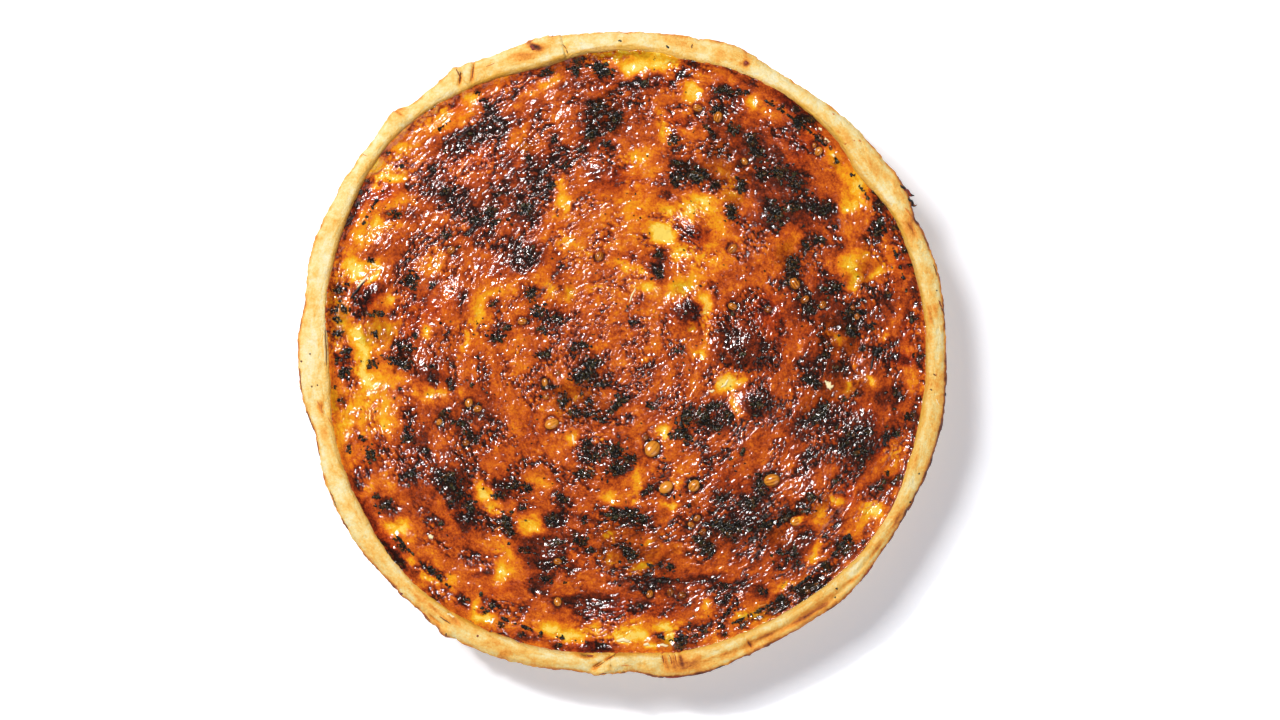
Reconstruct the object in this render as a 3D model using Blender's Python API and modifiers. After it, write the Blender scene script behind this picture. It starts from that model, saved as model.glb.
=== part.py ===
"""A whole round quiche, 22 cm across: a shortcrust case with a hand-trimmed rim, filled
nearly to the brim with herb custard that has baked into a lumpy, blistered skin.

The scene is in metres with +Z up. The origin is the centre of the flat base, at the height
of the surface that it stands on. Sizes below are in millimetres, and angles are in degrees
anticlockwise from +X, seen from above.
"""

import math

import bmesh
import bpy
import numpy as np

MM = 0.001

# Driving dimensions
RIM_HEIGHT = 38.0
RIM_RADIUS = 110.2
PASTRY = 4.6
LIP = 3.8
CUSTARD_RADIUS = 102.5
CUSTARD_HEIGHT = 35.5
GAP = 0.4

# The wall of the case leans out a little, as the tin's did
BASE_RADIUS = 97.5
WALL_FOOT = (101.2, 3.2)
WALL_TOP = (RIM_RADIUS - LIP, 29.6)

# How finely the turned pieces and the skin are divided, and the Screw's merge distance in metres
STEPS_ROUND = 168
GRID_CELLS = 45
MERGE = 0.00005

# Where the trimmed lip stands out or falls short: (angle, spread, millimetres)
LIP_BULGES = (
    (0, 8, -0.8),
    (25, 3, -1.0),
    (31, 4, 0.8),
    (57, 9, -1.3),
    (70, 5, 1.2),
    (90, 14, -1.0),
    (105, 4, 0.9),
    (121, 5, 1.9),
    (135, 5, 1.9),
    (147, 8, 1.1),
    (160, 6, 1.0),
    (171, 4, -0.9),
    (195, 6, -2.3),
    (217, 8, 0.8),
    (240, 10, 1.8),
    (261, 5, -1.6),
    (271, 4, -2.6),
    (284, 8, 1.2),
    (313, 7, 1.6),
    (346, 10, 0.6),
)

# Where the edge between pastry and custard wanders from its circle, in the same form
INNER_BULGES = (
    (37, 6, -2.6),
    (57, 8, 0.6),
    (78, 5, -1.0),
    (106, 8, -1.8),
    (137, 17, 3.2),
    (183, 12, -3.2),
    (231, 20, 2.2),
    (270, 9, -1.6),
    (322, 16, 2.1),
)

# Long swells of the rim's crest: (waves round the rim, phase, millimetres)
CREST_WAVES = ((3, 0.6, 0.45), (7, 2.1, 0.4), (13, 4.0, 0.25))

# Dough folded over its neighbour: (angle of the free edge, spread of its body, millimetres)
FOLDS = ((101, 18, 1.6), (120, -9, 0.9), (176, 14, 0.5), (268, 9, 1.7), (31, -16, 0.6))

# The furrow along the rim on the lower right side
FURROW_MIDDLE = 303.0
FURROW_SPREAD = 19.0
FURROW_RADIUS = 107.0
FURROW_WIDTH = 1.5
FURROW_DEPTH = 1.1

# Puffed blisters of the custard and its hollows: (x, y, radius, millimetres up)
BLISTERS = (
    (24, 40, 5, 1.3),
    (22, 14, 5, 1.2),
    (43, 1, 9, 1.5),
    (46, -16, 5, 1.3),
    (83, -28, 8, 1.7),
    (-4, 60, 7, 1.2),
    (-55, 16, 9, 1.4),
    (-30, 27, 8, 1.3),
    (-3, -37, 7, 1.3),
    (66, -48, 9, 1.6),
    (-66, -7, 6, 0.9),
    (-84, 21, 5, 1.3),
    (84, -10, 6, 1.2),
    (60, 70, 9, 1.1),
    (-81, 54, 6, 1.0),
    (-60, -42, 10, 1.0),
    (0, -88, 12, 0.8),
    (-50, 72, 8, -1.0),
    (15, 37, 6, -1.1),
    (-88, -5, 6, -1.0),
    (37, -12, 5, -1.1),
    (28, 12, 3, -0.9),
    (-28, -62, 7, -0.9),
    (-13, -83, 6, -1.0),
    (20, -76, 8, -0.9),
    (54, -58, 6, -1.2),
)
# Low swells over what lies under the skin, within a radius; spread and height have a range
SMALL_LUMPS = 230
LUMPS_WITHIN = 96.0
LUMP_SPREAD = (3.4, 7.4)
LUMP_SWELL = (-0.55, 0.7)

# The skin stands a little proud in the middle and falls to the pastry
DOME = 0.3
DOME_FALL = 0.5

# Clumps of chopped herbs baked onto the skin: (x, y, half length, half width, turn)
HERB_CLUMPS = (
    (-15, 98, 4.5, 1.8, 5),
    (-7, 95, 4.0, 2.2, -20),
    (-8, 84, 3.4, 2.2, 0),
    (-2, 80, 3.2, 2.0, -30),
    (-11, 73, 3.6, 2.4, 60),
    (30, 82, 3.0, 2.4, 0),
    (57, 83, 4.4, 2.0, -15),
    (60, 79, 4.6, 1.8, 0),
    (68, 72, 2.8, 1.8, -40),
    (44, 70, 3.4, 2.2, 50),
    (24, 61, 5.4, 2.8, 0),
    (56, 62, 3.0, 2.2, 0),
    (37, 47, 2.0, 3.4, 0),
    (53, 47, 4.0, 3.4, 0),
    (92, 42, 2.6, 1.8, -60),
    (-45, 46, 8.4, 3.0, 25),
    (-58, 54, 3.0, 2.2, 30),
    (-45, 74, 6.0, 2.2, 20),
    (-72, 25, 3.4, 2.4, 0),
    (-84, 13, 3.6, 1.8, 10),
    (-86, -3, 2.0, 2.0, 0),
    (-77, -2, 3.6, 2.2, 0),
    (-94, 0, 2.2, 1.8, 0),
    (-94, -6, 2.2, 1.6, 0),
    (-25, 13, 5.0, 2.4, -10),
    (-43, 5, 3.2, 2.2, 0),
    (12, 30, 2.6, 4.0, 0),
    (57, 29, 3.0, 3.6, 0),
    (78, 11, 3.4, 4.6, 0),
    (66, 4, 3.0, 2.2, 0),
    (-12, -6, 4.6, 5.0, 0),
    (-2, -17, 4.4, 2.0, 35),
    (21, -24, 3.4, 5.0, 0),
    (30, -22, 3.6, 4.0, 0),
    (64, -9, 3.2, 2.2, 0),
    (97, -22, 2.0, 2.0, 0),
    (-71, -27, 3.0, 3.2, 30),
    (-55, -25, 3.2, 2.0, -40),
    (-57, -47, 5.4, 3.0, -25),
    (-86, -36, 2.2, 2.0, 0),
    (-51, -55, 3.0, 3.4, 0),
    (-75, -65, 3.4, 1.8, -45),
    (-64, -74, 3.4, 2.0, -30),
    (-40, -57, 3.0, 2.8, -40),
    (-38, -46, 4.6, 2.6, 0),
    (0, -55, 7.4, 2.8, -5),
    (-22, -48, 2.2, 2.0, 0),
    (-24, -56, 3.0, 2.4, 0),
    (2, -67, 3.2, 3.0, 0),
    (27, -65, 3.4, 3.0, 0),
    (33, -58, 3.0, 3.4, 0),
    (16, -76, 6.0, 1.6, 0),
    (54, -57, 6.4, 1.6, 28),
    (62, -79, 5.4, 2.8, 25),
    (70, -72, 3.2, 3.0, 40),
    (76, -64, 3.4, 2.2, 30),
    (20, -97, 3.0, 1.8, 0),
    (-7, -98, 4.6, 1.3, 0),
    (40, -91, 3.0, 2.0, 20),
)
CLUMP_AREA_OF_A_LUMP = 30.0
LUMP_HEIGHT = 1.2
LUMP_OVERLAP = 1.25
CRUMPLE = (0.72, 1.28)
EDGE_ROOM = 1.7

# Whole seeds set in the skin, their centres a little above it: (x, y, diameter)
SEED_RISE = 0.12
SEEDS = (
    (10, -32, 5.2),
    (-24, -23.5, 4.8),
    (50.5, -42.5, 5.6),
    (14.5, -45, 4.6),
    (24, -44.5, 4.2),
    (37, 35.5, 3.4),
    (58, 23, 3.6),
    (61, 18, 3.2),
    (37, 16, 3.2),
    (66, 68, 3.0),
    (32, 80, 3.8),
    (-8, 33, 3.2),
    (-52, -16.5, 3.0),
    (-49, -18.5, 2.8),
    (-26, -9.5, 2.8),
    (25, -55, 2.8),
    (-34, 11, 3.0),
    (-58, 35, 3.0),
    (-22, -83.5, 3.2),
    (9, -81, 3.0),
    (16, -80, 3.0),
)


def new_collection(name):
    """A collection under the scene's own."""
    collection = bpy.data.collections.new(name)
    bpy.context.scene.collection.children.link(collection)
    return collection


def matte(name, colour, roughness):
    """A Principled material of one colour."""
    material = bpy.data.materials.new(name)
    material.use_nodes = True
    shader = material.node_tree.nodes["Principled BSDF"]
    shader.inputs["Base Color"].default_value = (*colour, 1.0)
    shader.inputs["Roughness"].default_value = roughness
    shader.inputs["Metallic"].default_value = 0.0
    material.diffuse_color = (*colour, 1.0)
    return material


def turn_between(angle, middle):
    """Degrees from middle to angle, the short way round."""
    return (angle - middle + 180.0) % 360.0 - 180.0


def ramp(value, low, high):
    """0 below low and 1 above high, with a smooth rise between."""
    t = np.clip((value - low) / (high - low), 0.0, 1.0)
    return t * t * (3.0 - 2.0 * t)


def bulges(angle, features):
    """The sum of smooth bumps round the rim, each highest at its own angle."""
    total = np.zeros_like(angle)
    for middle, spread, height in features:
        total += height * np.exp(-((turn_between(angle, middle) / spread) ** 2))
    return total


def folds(angle):
    """Each fold climbs along its body and drops off at its free edge."""
    total = np.zeros_like(angle)
    for edge, spread, height in FOLDS:
        along = turn_between(angle, edge) / spread
        total += height * np.where(along >= 0.0, np.clip(1.0 - along, 0.0, 1.0), 0.0)
    return total


def crest_swell(angle):
    """How far the crest stands above its mean height."""
    turn = np.radians(angle)
    return sum(high * np.sin(waves * turn + phase) for waves, phase, high in CREST_WAVES)


def hand_shaped(points):
    """The unevenness that hands and the knife gave the case, as a shift of any points in it.

    Towards the top the inner edge and the lip each follow their own bulges, and between the
    two radii the shift passes smoothly from one to the other. Heights follow the crest.
    """
    x, y, z = points.T
    radius = np.hypot(x, y)
    angle = np.degrees(np.arctan2(y, x))
    outwards = ramp(radius, CUSTARD_RADIUS, RIM_RADIUS - 0.8)
    shift = (1.0 - outwards) * bulges(angle, INNER_BULGES) + outwards * bulges(angle, LIP_BULGES)
    moved = radius + shift * ramp(z, 10.0, RIM_HEIGHT - 5.0)
    furrow = np.exp(-((turn_between(angle, FURROW_MIDDLE) / FURROW_SPREAD) ** 4))
    furrow = furrow * np.exp(-(((radius - FURROW_RADIUS) / FURROW_WIDTH) ** 2))
    lift = (crest_swell(angle) + folds(angle)) * ramp(radius, CUSTARD_RADIUS - 2.0, CUSTARD_RADIUS + 1.5)
    raised = z + (lift - FURROW_DEPTH * furrow) * ramp(z, WALL_TOP[1] - 2.0, RIM_HEIGHT - 2.0)
    scale = np.divide(moved, radius, out=np.ones_like(radius), where=radius > 1.0)
    return np.column_stack([x * scale, y * scale, raised])


def wall_radius(height):
    """Outer radius of the leaning wall at a height."""
    share = (height - WALL_FOOT[1]) / (WALL_TOP[1] - WALL_FOOT[1])
    return WALL_FOOT[0] + share * (WALL_TOP[0] - WALL_FOOT[0])


def inner_wall(gap=0.0):
    """Radius and height down the inside of the case from rim to floor, moved in by gap."""
    return [
        (CUSTARD_RADIUS - 0.5 - gap, CUSTARD_HEIGHT),
        (wall_radius(9.0) - PASTRY - gap, 9.0),
        (BASE_RADIUS - PASTRY - gap, PASTRY + gap),
    ]


def case_profile():
    """The section of the case: along its floor, up inside, over the rim, down outside, back."""
    floor_to_rim = [(0.0, PASTRY), *reversed(inner_wall())]
    over_the_rim = [
        (CUSTARD_RADIUS + 0.9, RIM_HEIGHT - 1.4),
        (CUSTARD_RADIUS + 2.5, RIM_HEIGHT - 0.4),
        (CUSTARD_RADIUS + 4.2, RIM_HEIGHT),
        (RIM_RADIUS - 1.8, RIM_HEIGHT - 0.8),
        (RIM_RADIUS, RIM_HEIGHT - 2.4),
        (RIM_RADIUS - 0.2, RIM_HEIGHT - 4.0),
        (RIM_RADIUS - 2.0, RIM_HEIGHT - 5.2),
        (WALL_TOP[0] + 1.0, RIM_HEIGHT - 6.2),
    ]
    down_outside = [
        WALL_TOP,
        (wall_radius(20.0), 20.0),
        (wall_radius(10.0), 10.0),
        WALL_FOOT,
        (WALL_FOOT[0] - 1.1, 0.8),
        (BASE_RADIUS, 0.0),
        (0.0, 0.0),
    ]
    return floor_to_rim + over_the_rim + down_outside


def plug_profile():
    """The section of the custard, from above its top down the inside of the case."""
    top = RIM_HEIGHT + 8.0
    side = inner_wall(GAP)
    return [(0.0, top), (side[0][0], top), *side, (0.0, PASTRY + GAP)]


def turned(name, profile, collection):
    """A solid turned from a profile with a Screw modifier, then shaped by hand_shaped."""
    mesh = bpy.data.meshes.new(name)
    corners = [(radius * MM, 0.0, height * MM) for radius, height in profile]
    mesh.from_pydata(corners, [(i, i + 1) for i in range(len(corners) - 1)], [])
    guide = bpy.data.objects.new(name, mesh)
    collection.objects.link(guide)
    screw = guide.modifiers.new("turn", "SCREW")
    screw.steps = screw.render_steps = STEPS_ROUND
    screw.use_merge_vertices = True
    screw.merge_threshold = MERGE
    solid = applied(guide)
    points = np.empty(len(solid.data.vertices) * 3)
    solid.data.vertices.foreach_get("co", points)
    points = hand_shaped(points.reshape(-1, 3) / MM) * MM
    solid.data.vertices.foreach_set("co", points.ravel())
    solid.data.update()
    return solid


def applied(made):
    """The same object with its modifiers applied."""
    graph = bpy.context.evaluated_depsgraph_get()
    mesh = bpy.data.meshes.new_from_object(made.evaluated_get(graph))
    made.modifiers.clear()
    made.data = mesh
    return made


def boolean(target, operation, other, solver="EXACT"):
    """Cuts or joins target with an object, or with every object of a collection."""
    modifier = target.modifiers.new(operation.lower(), "BOOLEAN")
    modifier.operation = operation
    modifier.solver = solver
    if isinstance(other, bpy.types.Collection):
        modifier.operand_type = "COLLECTION"
        modifier.collection = other
    else:
        modifier.object = other
    return applied(target)


def small_lumps():
    """Low swells over whatever lies just under the skin, spread by a seeded draw."""
    draw = np.random.RandomState(11)
    radius = LUMPS_WITHIN * np.sqrt(draw.random_sample(SMALL_LUMPS))
    turn = 2.0 * math.pi * draw.random_sample(SMALL_LUMPS)
    spread = draw.uniform(*LUMP_SPREAD, SMALL_LUMPS)
    height = draw.uniform(*LUMP_SWELL, SMALL_LUMPS)
    return zip(radius * np.cos(turn), radius * np.sin(turn), spread, height)


def custard_top(x, y):
    """Height of the baked skin: a faint dome with blisters and hollows on it."""
    away = np.hypot(x, y) / CUSTARD_RADIUS
    total = CUSTARD_HEIGHT + DOME - DOME_FALL * away**6
    swells = np.zeros_like(away)
    for middle_x, middle_y, spread, height in (*BLISTERS, *small_lumps()):
        distance = ((x - middle_x) ** 2 + (y - middle_y) ** 2) / spread**2
        swells += height * np.exp(-distance)
    return total + swells * (1.0 - ramp(away, 0.93, 1.0))


def custard_slab(collection):
    """A square slab wider than the quiche and deeper than its base, topped by the lumpy skin."""
    half = CUSTARD_RADIUS + 6.0
    underside = -10.0
    shape = bmesh.new()
    bmesh.ops.create_grid(shape, x_segments=GRID_CELLS, y_segments=GRID_CELLS, size=half * MM)
    top = list(shape.verts)
    bottom = bmesh.ops.extrude_face_region(shape, geom=list(shape.faces))
    lowered = [part for part in bottom["geom"] if isinstance(part, bmesh.types.BMVert)]
    bmesh.ops.translate(shape, verts=lowered, vec=(0.0, 0.0, underside * MM))
    xy = np.array([corner.co[:2] for corner in top]) / MM
    for corner, height in zip(top, custard_top(xy[:, 0], xy[:, 1])):
        corner.co.z = height * MM
    bmesh.ops.recalc_face_normals(shape, faces=list(shape.faces))
    mesh = bpy.data.meshes.new("custard_slab")
    shape.to_mesh(mesh)
    shape.free()
    slab = bpy.data.objects.new("custard_slab", mesh)
    collection.objects.link(slab)
    return slab


def on_the_skin(x, y, reach):
    """The point of the skin at x, y, moved inwards where a lump of that reach would meet pastry."""
    radius = math.hypot(x, y)
    angle = np.array([math.degrees(math.atan2(y, x))])
    room = CUSTARD_RADIUS + float(bulges(angle, INNER_BULGES)[0]) - EDGE_ROOM - reach
    share = min(1.0, room / radius)
    x, y = x * share, y * share
    return x, y, float(custard_top(np.array([x]), np.array([y]))[0])


def topping(name, build, place, size, turn, collection):
    """A small closed lump: build fills a bmesh, which is then sized, turned and placed."""
    shape = bmesh.new()
    build(shape)
    mesh = bpy.data.meshes.new(name)
    shape.to_mesh(mesh)
    shape.free()
    lump = bpy.data.objects.new(name, mesh)
    lump.location = [value * MM for value in place]
    lump.rotation_euler = turn
    lump.scale = [value * MM for value in size]
    collection.objects.link(lump)
    return lump


def add_herb_lumps(collection):
    """Crumpled leaf lumps over each clump's oval, more of them on a larger clump."""
    draw = np.random.RandomState(5)

    def crumpled(shape):
        bmesh.ops.create_icosphere(shape, subdivisions=1, radius=1.0)
        for corner in shape.verts:
            corner.co *= draw.uniform(*CRUMPLE)

    for x, y, half_length, half_width, turn in HERB_CLUMPS:
        count = max(1, round(math.pi * half_length * half_width / CLUMP_AREA_OF_A_LUMP))
        for i in range(count):
            along = (i + 0.5) / count * 2.0 - 1.0
            across = draw.uniform(-0.45, 0.45) * half_width
            slant = math.radians(turn)
            reach = along * half_length * (0.0 if count == 1 else 0.8)
            lump_x = x + reach * math.cos(slant) - across * math.sin(slant)
            lump_y = y + reach * math.sin(slant) + across * math.cos(slant)
            size = (half_length / count * LUMP_OVERLAP, half_width, LUMP_HEIGHT)
            place = on_the_skin(lump_x, lump_y, max(size) * CRUMPLE[1])
            spin = (draw.uniform(-0.3, 0.3), draw.uniform(-0.3, 0.3), slant + draw.uniform(-0.6, 0.6))
            topping("herb_lump", crumpled, place, size, spin, collection)


def add_seeds(collection):
    """Round seeds, nearly half sunk in the skin."""

    def ball(shape):
        bmesh.ops.create_uvsphere(shape, u_segments=6, v_segments=4, radius=0.5)

    for x, y, diameter in SEEDS:
        x, y, height = on_the_skin(x, y, 0.5 * diameter)
        place = (x, y, height + SEED_RISE * diameter)
        size = (diameter, diameter, diameter * 0.9)
        topping("seed", ball, place, size, (0.3, 0.2, x), collection)


def make_case(collection):
    """The pastry: base, leaning wall and thick turned-out rim, in one piece."""
    case = turned("pastry_case", case_profile(), collection)
    case.data.shade_smooth()
    case.data.set_sharp_from_angle(angle=math.radians(40.0))
    case.data.materials.append(matte("baked_shortcrust", (0.83, 0.60, 0.30), 0.7))
    return case


def make_custard(collection, helpers):
    """The set custard: a turned plug cut to its lumpy skin, with herbs and seeds fused on."""
    custard = turned("custard_filling", plug_profile(), collection)
    slab = custard_slab(helpers)
    boolean(custard, "INTERSECT", slab)
    bpy.data.objects.remove(slab)
    add_herb_lumps(helpers)
    add_seeds(helpers)
    boolean(custard, "UNION", helpers, "MANIFOLD")
    for lump in list(helpers.objects):
        bpy.data.objects.remove(lump)
    bpy.data.collections.remove(helpers)
    custard.data.shade_smooth()
    custard.data.set_sharp_from_angle(angle=math.radians(50.0))
    custard.data.materials.clear()
    custard.data.materials.append(matte("baked_custard", (0.62, 0.20, 0.04), 0.35))
    return custard


def main():
    for old in list(bpy.data.objects):
        bpy.data.objects.remove(old)
    quiche = new_collection("quiche")
    helpers = new_collection("toppings")
    make_case(quiche)
    make_custard(quiche, helpers)


main()
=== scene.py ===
import itertools
import math

import bpy
import numpy as np
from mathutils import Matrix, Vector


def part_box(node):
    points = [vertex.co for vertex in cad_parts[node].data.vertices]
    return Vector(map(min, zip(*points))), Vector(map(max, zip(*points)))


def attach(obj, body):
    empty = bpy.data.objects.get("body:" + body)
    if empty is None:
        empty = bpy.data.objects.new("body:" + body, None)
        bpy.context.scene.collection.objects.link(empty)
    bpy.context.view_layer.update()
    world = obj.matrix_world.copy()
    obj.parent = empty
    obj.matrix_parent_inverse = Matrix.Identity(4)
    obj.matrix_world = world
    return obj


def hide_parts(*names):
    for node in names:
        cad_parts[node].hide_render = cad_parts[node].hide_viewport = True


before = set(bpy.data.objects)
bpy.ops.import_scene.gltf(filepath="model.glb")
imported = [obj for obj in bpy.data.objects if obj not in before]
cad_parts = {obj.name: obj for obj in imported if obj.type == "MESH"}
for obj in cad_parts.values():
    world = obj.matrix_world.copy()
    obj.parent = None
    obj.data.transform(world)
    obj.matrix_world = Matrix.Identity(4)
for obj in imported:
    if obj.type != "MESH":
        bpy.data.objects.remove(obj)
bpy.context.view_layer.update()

# Everything below is worked out in millimetres, with the centre of the quiche's flat base at
# zero, and turned into metres as it goes into a mesh.
MM = 0.001


# The table and the light
# The quiche lies on a white table. A soft lamp stands at the upper left, as seen from above, with
# a bare bulb beside it that picks out the oily skin. A white card opposite fills the shadows.
TABLE_HALF = 2.5
LAMP_TURN = 134.0
LAMP_LEAN = 26.0
LAMP_AWAY = 2.4
LAMP_SIDE = 0.51
LAMP_WATTS = 40.4
BULB_TURN = 143.0
BULB_LEAN = 31.0
BULB_SIDE = 0.12
BULB_WATTS = 18.0
FILL_LEAN = 62.0
FILL_SIDE = 1.7
FILL_WATTS = 14.0
WALLS = 0.08
WALL_COLOUR = (0.93, 0.96, 1.0, 1.0)
TABLE_COLOUR = (0.90, 0.91, 0.94, 1.0)
TABLE_GLOW = (0.78, 0.86, 1.0, 1.0)
TABLE_GLOWS = 0.36


def light(name, side, watts, turn, lean):
    """A square lamp that looks at the quiche from a compass turn and a lean from overhead."""
    lamp = bpy.data.lights.new(name, "AREA")
    lamp.shape = "SQUARE"
    lamp.size = side
    lamp.energy = watts
    made = bpy.data.objects.new(name, lamp)
    turn, lean = math.radians(turn), math.radians(lean)
    made.location = (
        LAMP_AWAY * math.sin(lean) * math.cos(turn),
        LAMP_AWAY * math.sin(lean) * math.sin(turn),
        LAMP_AWAY * math.cos(lean),
    )
    made.rotation_euler = (0.0, lean, turn)
    bpy.context.scene.collection.objects.link(made)
    return made


light("soft_lamp", LAMP_SIDE, LAMP_WATTS, LAMP_TURN, LAMP_LEAN)
light("bare_bulb", BULB_SIDE, BULB_WATTS, BULB_TURN, BULB_LEAN)
light("white_card", FILL_SIDE, FILL_WATTS, LAMP_TURN + 180.0, FILL_LEAN)

walls = bpy.data.worlds.new("white_walls")
walls.use_nodes = True
walls.node_tree.nodes["Background"].inputs["Color"].default_value = WALL_COLOUR
walls.node_tree.nodes["Background"].inputs["Strength"].default_value = WALLS
bpy.context.scene.world = walls

table_mesh = bpy.data.meshes.new("table")
table_mesh.from_pydata(
    [(x * TABLE_HALF, y * TABLE_HALF, 0.0) for x, y in ((-1, -1), (1, -1), (1, 1), (-1, 1))],
    [],
    [(0, 1, 2, 3)],
)
table = bpy.data.objects.new("table", table_mesh)
bpy.context.scene.collection.objects.link(table)
white = bpy.data.materials.new("white_table")
white.use_nodes = True
white_shader = white.node_tree.nodes["Principled BSDF"]
white_shader.inputs["Base Color"].default_value = TABLE_COLOUR
white_shader.inputs["Roughness"].default_value = 0.9
white_shader.inputs["Specular IOR Level"].default_value = 0.1
white_shader.inputs["Emission Color"].default_value = TABLE_GLOW
white_shader.inputs["Emission Strength"].default_value = TABLE_GLOWS
table_mesh.materials.append(white)


# The camera
# It looks straight down from two metres up, as a long lens does, a little off the quiche's
# centre. PIXEL is how many millimetres of the rim's plane one pixel shows.
PIXEL = 0.3374
PICTURE_WIDE = 1280
MIDDLE_OFF = (5.74, -2.02)
LENS = 170.0
SENSOR = 36.0
RIM_PLANE = 36.0

camera = bpy.data.objects.new("camera", bpy.data.cameras.new("camera"))
camera.data.lens = LENS
camera.data.sensor_width = SENSOR
camera_height = PIXEL * PICTURE_WIDE * LENS / SENSOR + RIM_PLANE
camera.location = (MIDDLE_OFF[0] * MM, MIDDLE_OFF[1] * MM, camera_height * MM)
bpy.context.scene.collection.objects.link(camera)
bpy.context.scene.camera = camera
bpy.context.scene.view_settings.view_transform = "Standard"


# The pastry case
# Shortcrust rolled about 5 mm thick, pressed into a deep tin, folded where it was too long,
# trimmed by hand along the tin's edge and baked pale, with a toasted outer edge.
RIM_HEIGHT = 38.0
RIM_RADIUS = 110.2
PASTRY = 4.6
LIP = 3.8
CUSTARD_RADIUS = 102.5
CUSTARD_HEIGHT = 35.5
BASE_RADIUS = 97.5
WALL_FOOT = (101.2, 3.2)
WALL_TOP = (RIM_RADIUS - LIP, 29.6)

# Where the trimmed lip stands out or falls short: (angle, spread, millimetres)
LIP_BULGES = (
    (0, 8, -0.8), (25, 3, -1), (31, 4, 0.8), (57, 9, -1.3), (70, 5, 1.2), (90, 14, -1), (105, 4, 0.9),
    (121, 5, 1.9), (135, 5, 1.9), (147, 8, 1.1), (160, 6, 1), (171, 4, -0.9), (195, 6, -2.3), (217, 8, 0.8),
    (240, 10, 1.8), (261, 5, -1.6), (271, 4, -2.6), (284, 8, 1.2), (313, 7, 1.6), (346, 10, 0.6),
    (133.6, 1.8, 0.9), (227.4, 0.9, 0.6), (234, 1, 0.6), (237.6, 1, 0.7),
)
# Where the edge between pastry and custard wanders, in the same form
INNER_BULGES = (
    (37, 6, -2.6), (57, 8, 0.6), (78, 5, -1), (106, 8, -1.8), (137, 17, 3.2), (183, 12, -3.2),
    (231, 20, 2.2), (270, 9, -1.6), (322, 16, 2.1), (139, 12, 0.6), (205, 14, -0.8),
)
# Long swells of the crest: (waves round the rim, phase, millimetres)
CREST_WAVES = ((3, 0.6, 0.45), (7, 2.1, 0.4), (13, 4.0, 0.25))
# Dough folded over its neighbour: (angle of the free edge, spread of its body, millimetres)
FOLDS = ((101, 18, 1.6), (120, -9, 0.9), (176, 14, 0.5), (268, 9, 1.7), (31, -16, 0.6))
FURROW_MIDDLE = 303.0
FURROW_SPREAD = 19.0
FURROW_RADIUS = 107.0
FURROW_WIDTH = 1.5
FURROW_DEPTH = 1.1
# The tin held the dough's shape below this height
TIN_GRIP = 10.0
# Nothing stands higher than the tallest fold of the case, whose top is rounded off
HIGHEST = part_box("pastry_case")[1][2] / MM
ROUNDED_OFF = 0.6


def turn_between(angle, middle):
    """Degrees from middle to angle, the short way round."""
    return (angle - middle + 180.0) % 360.0 - 180.0


def ramp(value, low, high):
    """0 below low and 1 above high, with a smooth rise between."""
    t = np.clip((value - low) / (high - low), 0.0, 1.0)
    return t * t * (3.0 - 2.0 * t)


def bulges(angle, features):
    """The sum of smooth bumps round the rim, each highest at its own angle."""
    total = np.zeros_like(angle)
    for middle, spread, height in features:
        total += height * np.exp(-((turn_between(angle, middle) / spread) ** 2))
    return total


def folds(angle):
    """Each fold climbs along its body and drops off at its free edge."""
    total = np.zeros_like(angle)
    for edge, spread, height in FOLDS:
        along = turn_between(angle, edge) / spread
        total += height * np.where(along >= 0.0, np.clip(1.0 - along, 0.0, 1.0), 0.0)
    return total


def hand_shaped(points):
    """The shift that hands and knife gave the case: radii follow the bulges, heights the crest."""
    x, y, z = points[..., 0], points[..., 1], points[..., 2]
    radius = np.hypot(x, y)
    angle = np.degrees(np.arctan2(y, x))
    outwards = ramp(radius, CUSTARD_RADIUS, RIM_RADIUS - 0.8)
    shift = (1.0 - outwards) * bulges(angle, INNER_BULGES) + outwards * bulges(angle, LIP_BULGES)
    moved = radius + shift * ramp(z, TIN_GRIP, RIM_HEIGHT - 5.0)
    furrow = np.exp(-((turn_between(angle, FURROW_MIDDLE) / FURROW_SPREAD) ** 4))
    furrow = furrow * np.exp(-(((radius - FURROW_RADIUS) / FURROW_WIDTH) ** 2))
    turn = np.radians(angle)
    crest = sum(high * np.sin(waves * turn + phase) for waves, phase, high in CREST_WAVES)
    lift = (crest + folds(angle)) * ramp(radius, CUSTARD_RADIUS - 2.0, CUSTARD_RADIUS + 1.5)
    raised = z + (lift - FURROW_DEPTH * furrow) * ramp(z, WALL_TOP[1] - 2.0, RIM_HEIGHT - 2.0)
    scale = np.divide(moved, radius, out=np.ones_like(radius), where=radius > 1.0)
    return np.stack([x * scale, y * scale, raised], axis=-1)


def noise(points, size, seed):
    """Smooth gradient noise from about -1 to 1, on a cubic lattice with cells of that size.

    Each lattice corner gets a direction from a hash of its place and of the seed, which is
    another for each use. The value is the eased blend of the eight corners' dot products with
    the offset to the point.
    """
    places = points / size
    cell = np.floor(places).astype(np.int64)
    within = places - cell
    ease = within**3 * (within * (within * 6.0 - 15.0) + 10.0)
    total = np.zeros(points.shape[:-1])
    for corner in itertools.product((0, 1), repeat=3):
        key = (cell + corner) @ np.array([73856093, 19349663, 83492791]) + seed * 7919
        key = (key ^ (key >> 13)) * 1274126177 & 0x7FFFFFFF
        key = (key ^ (key >> 15)) * 668265263 & 0x3FFFFFFF
        weight = np.prod(np.where(corner, ease, 1.0 - ease), axis=-1)
        for axis in range(3):
            direction = (key >> (10 * axis) & 1023) / 511.5 - 1.0
            total += weight * direction * (within[..., axis] - corner[axis])
    return 1.5 * total


def cloud(points, size, seed, octaves=3):
    """Layers of noise, each half the size and half the strength of the one before."""
    layers = [noise(points, size / 2**i, seed + i) / 2**i for i in range(octaves)]
    return sum(layers) / 1.4


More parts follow.
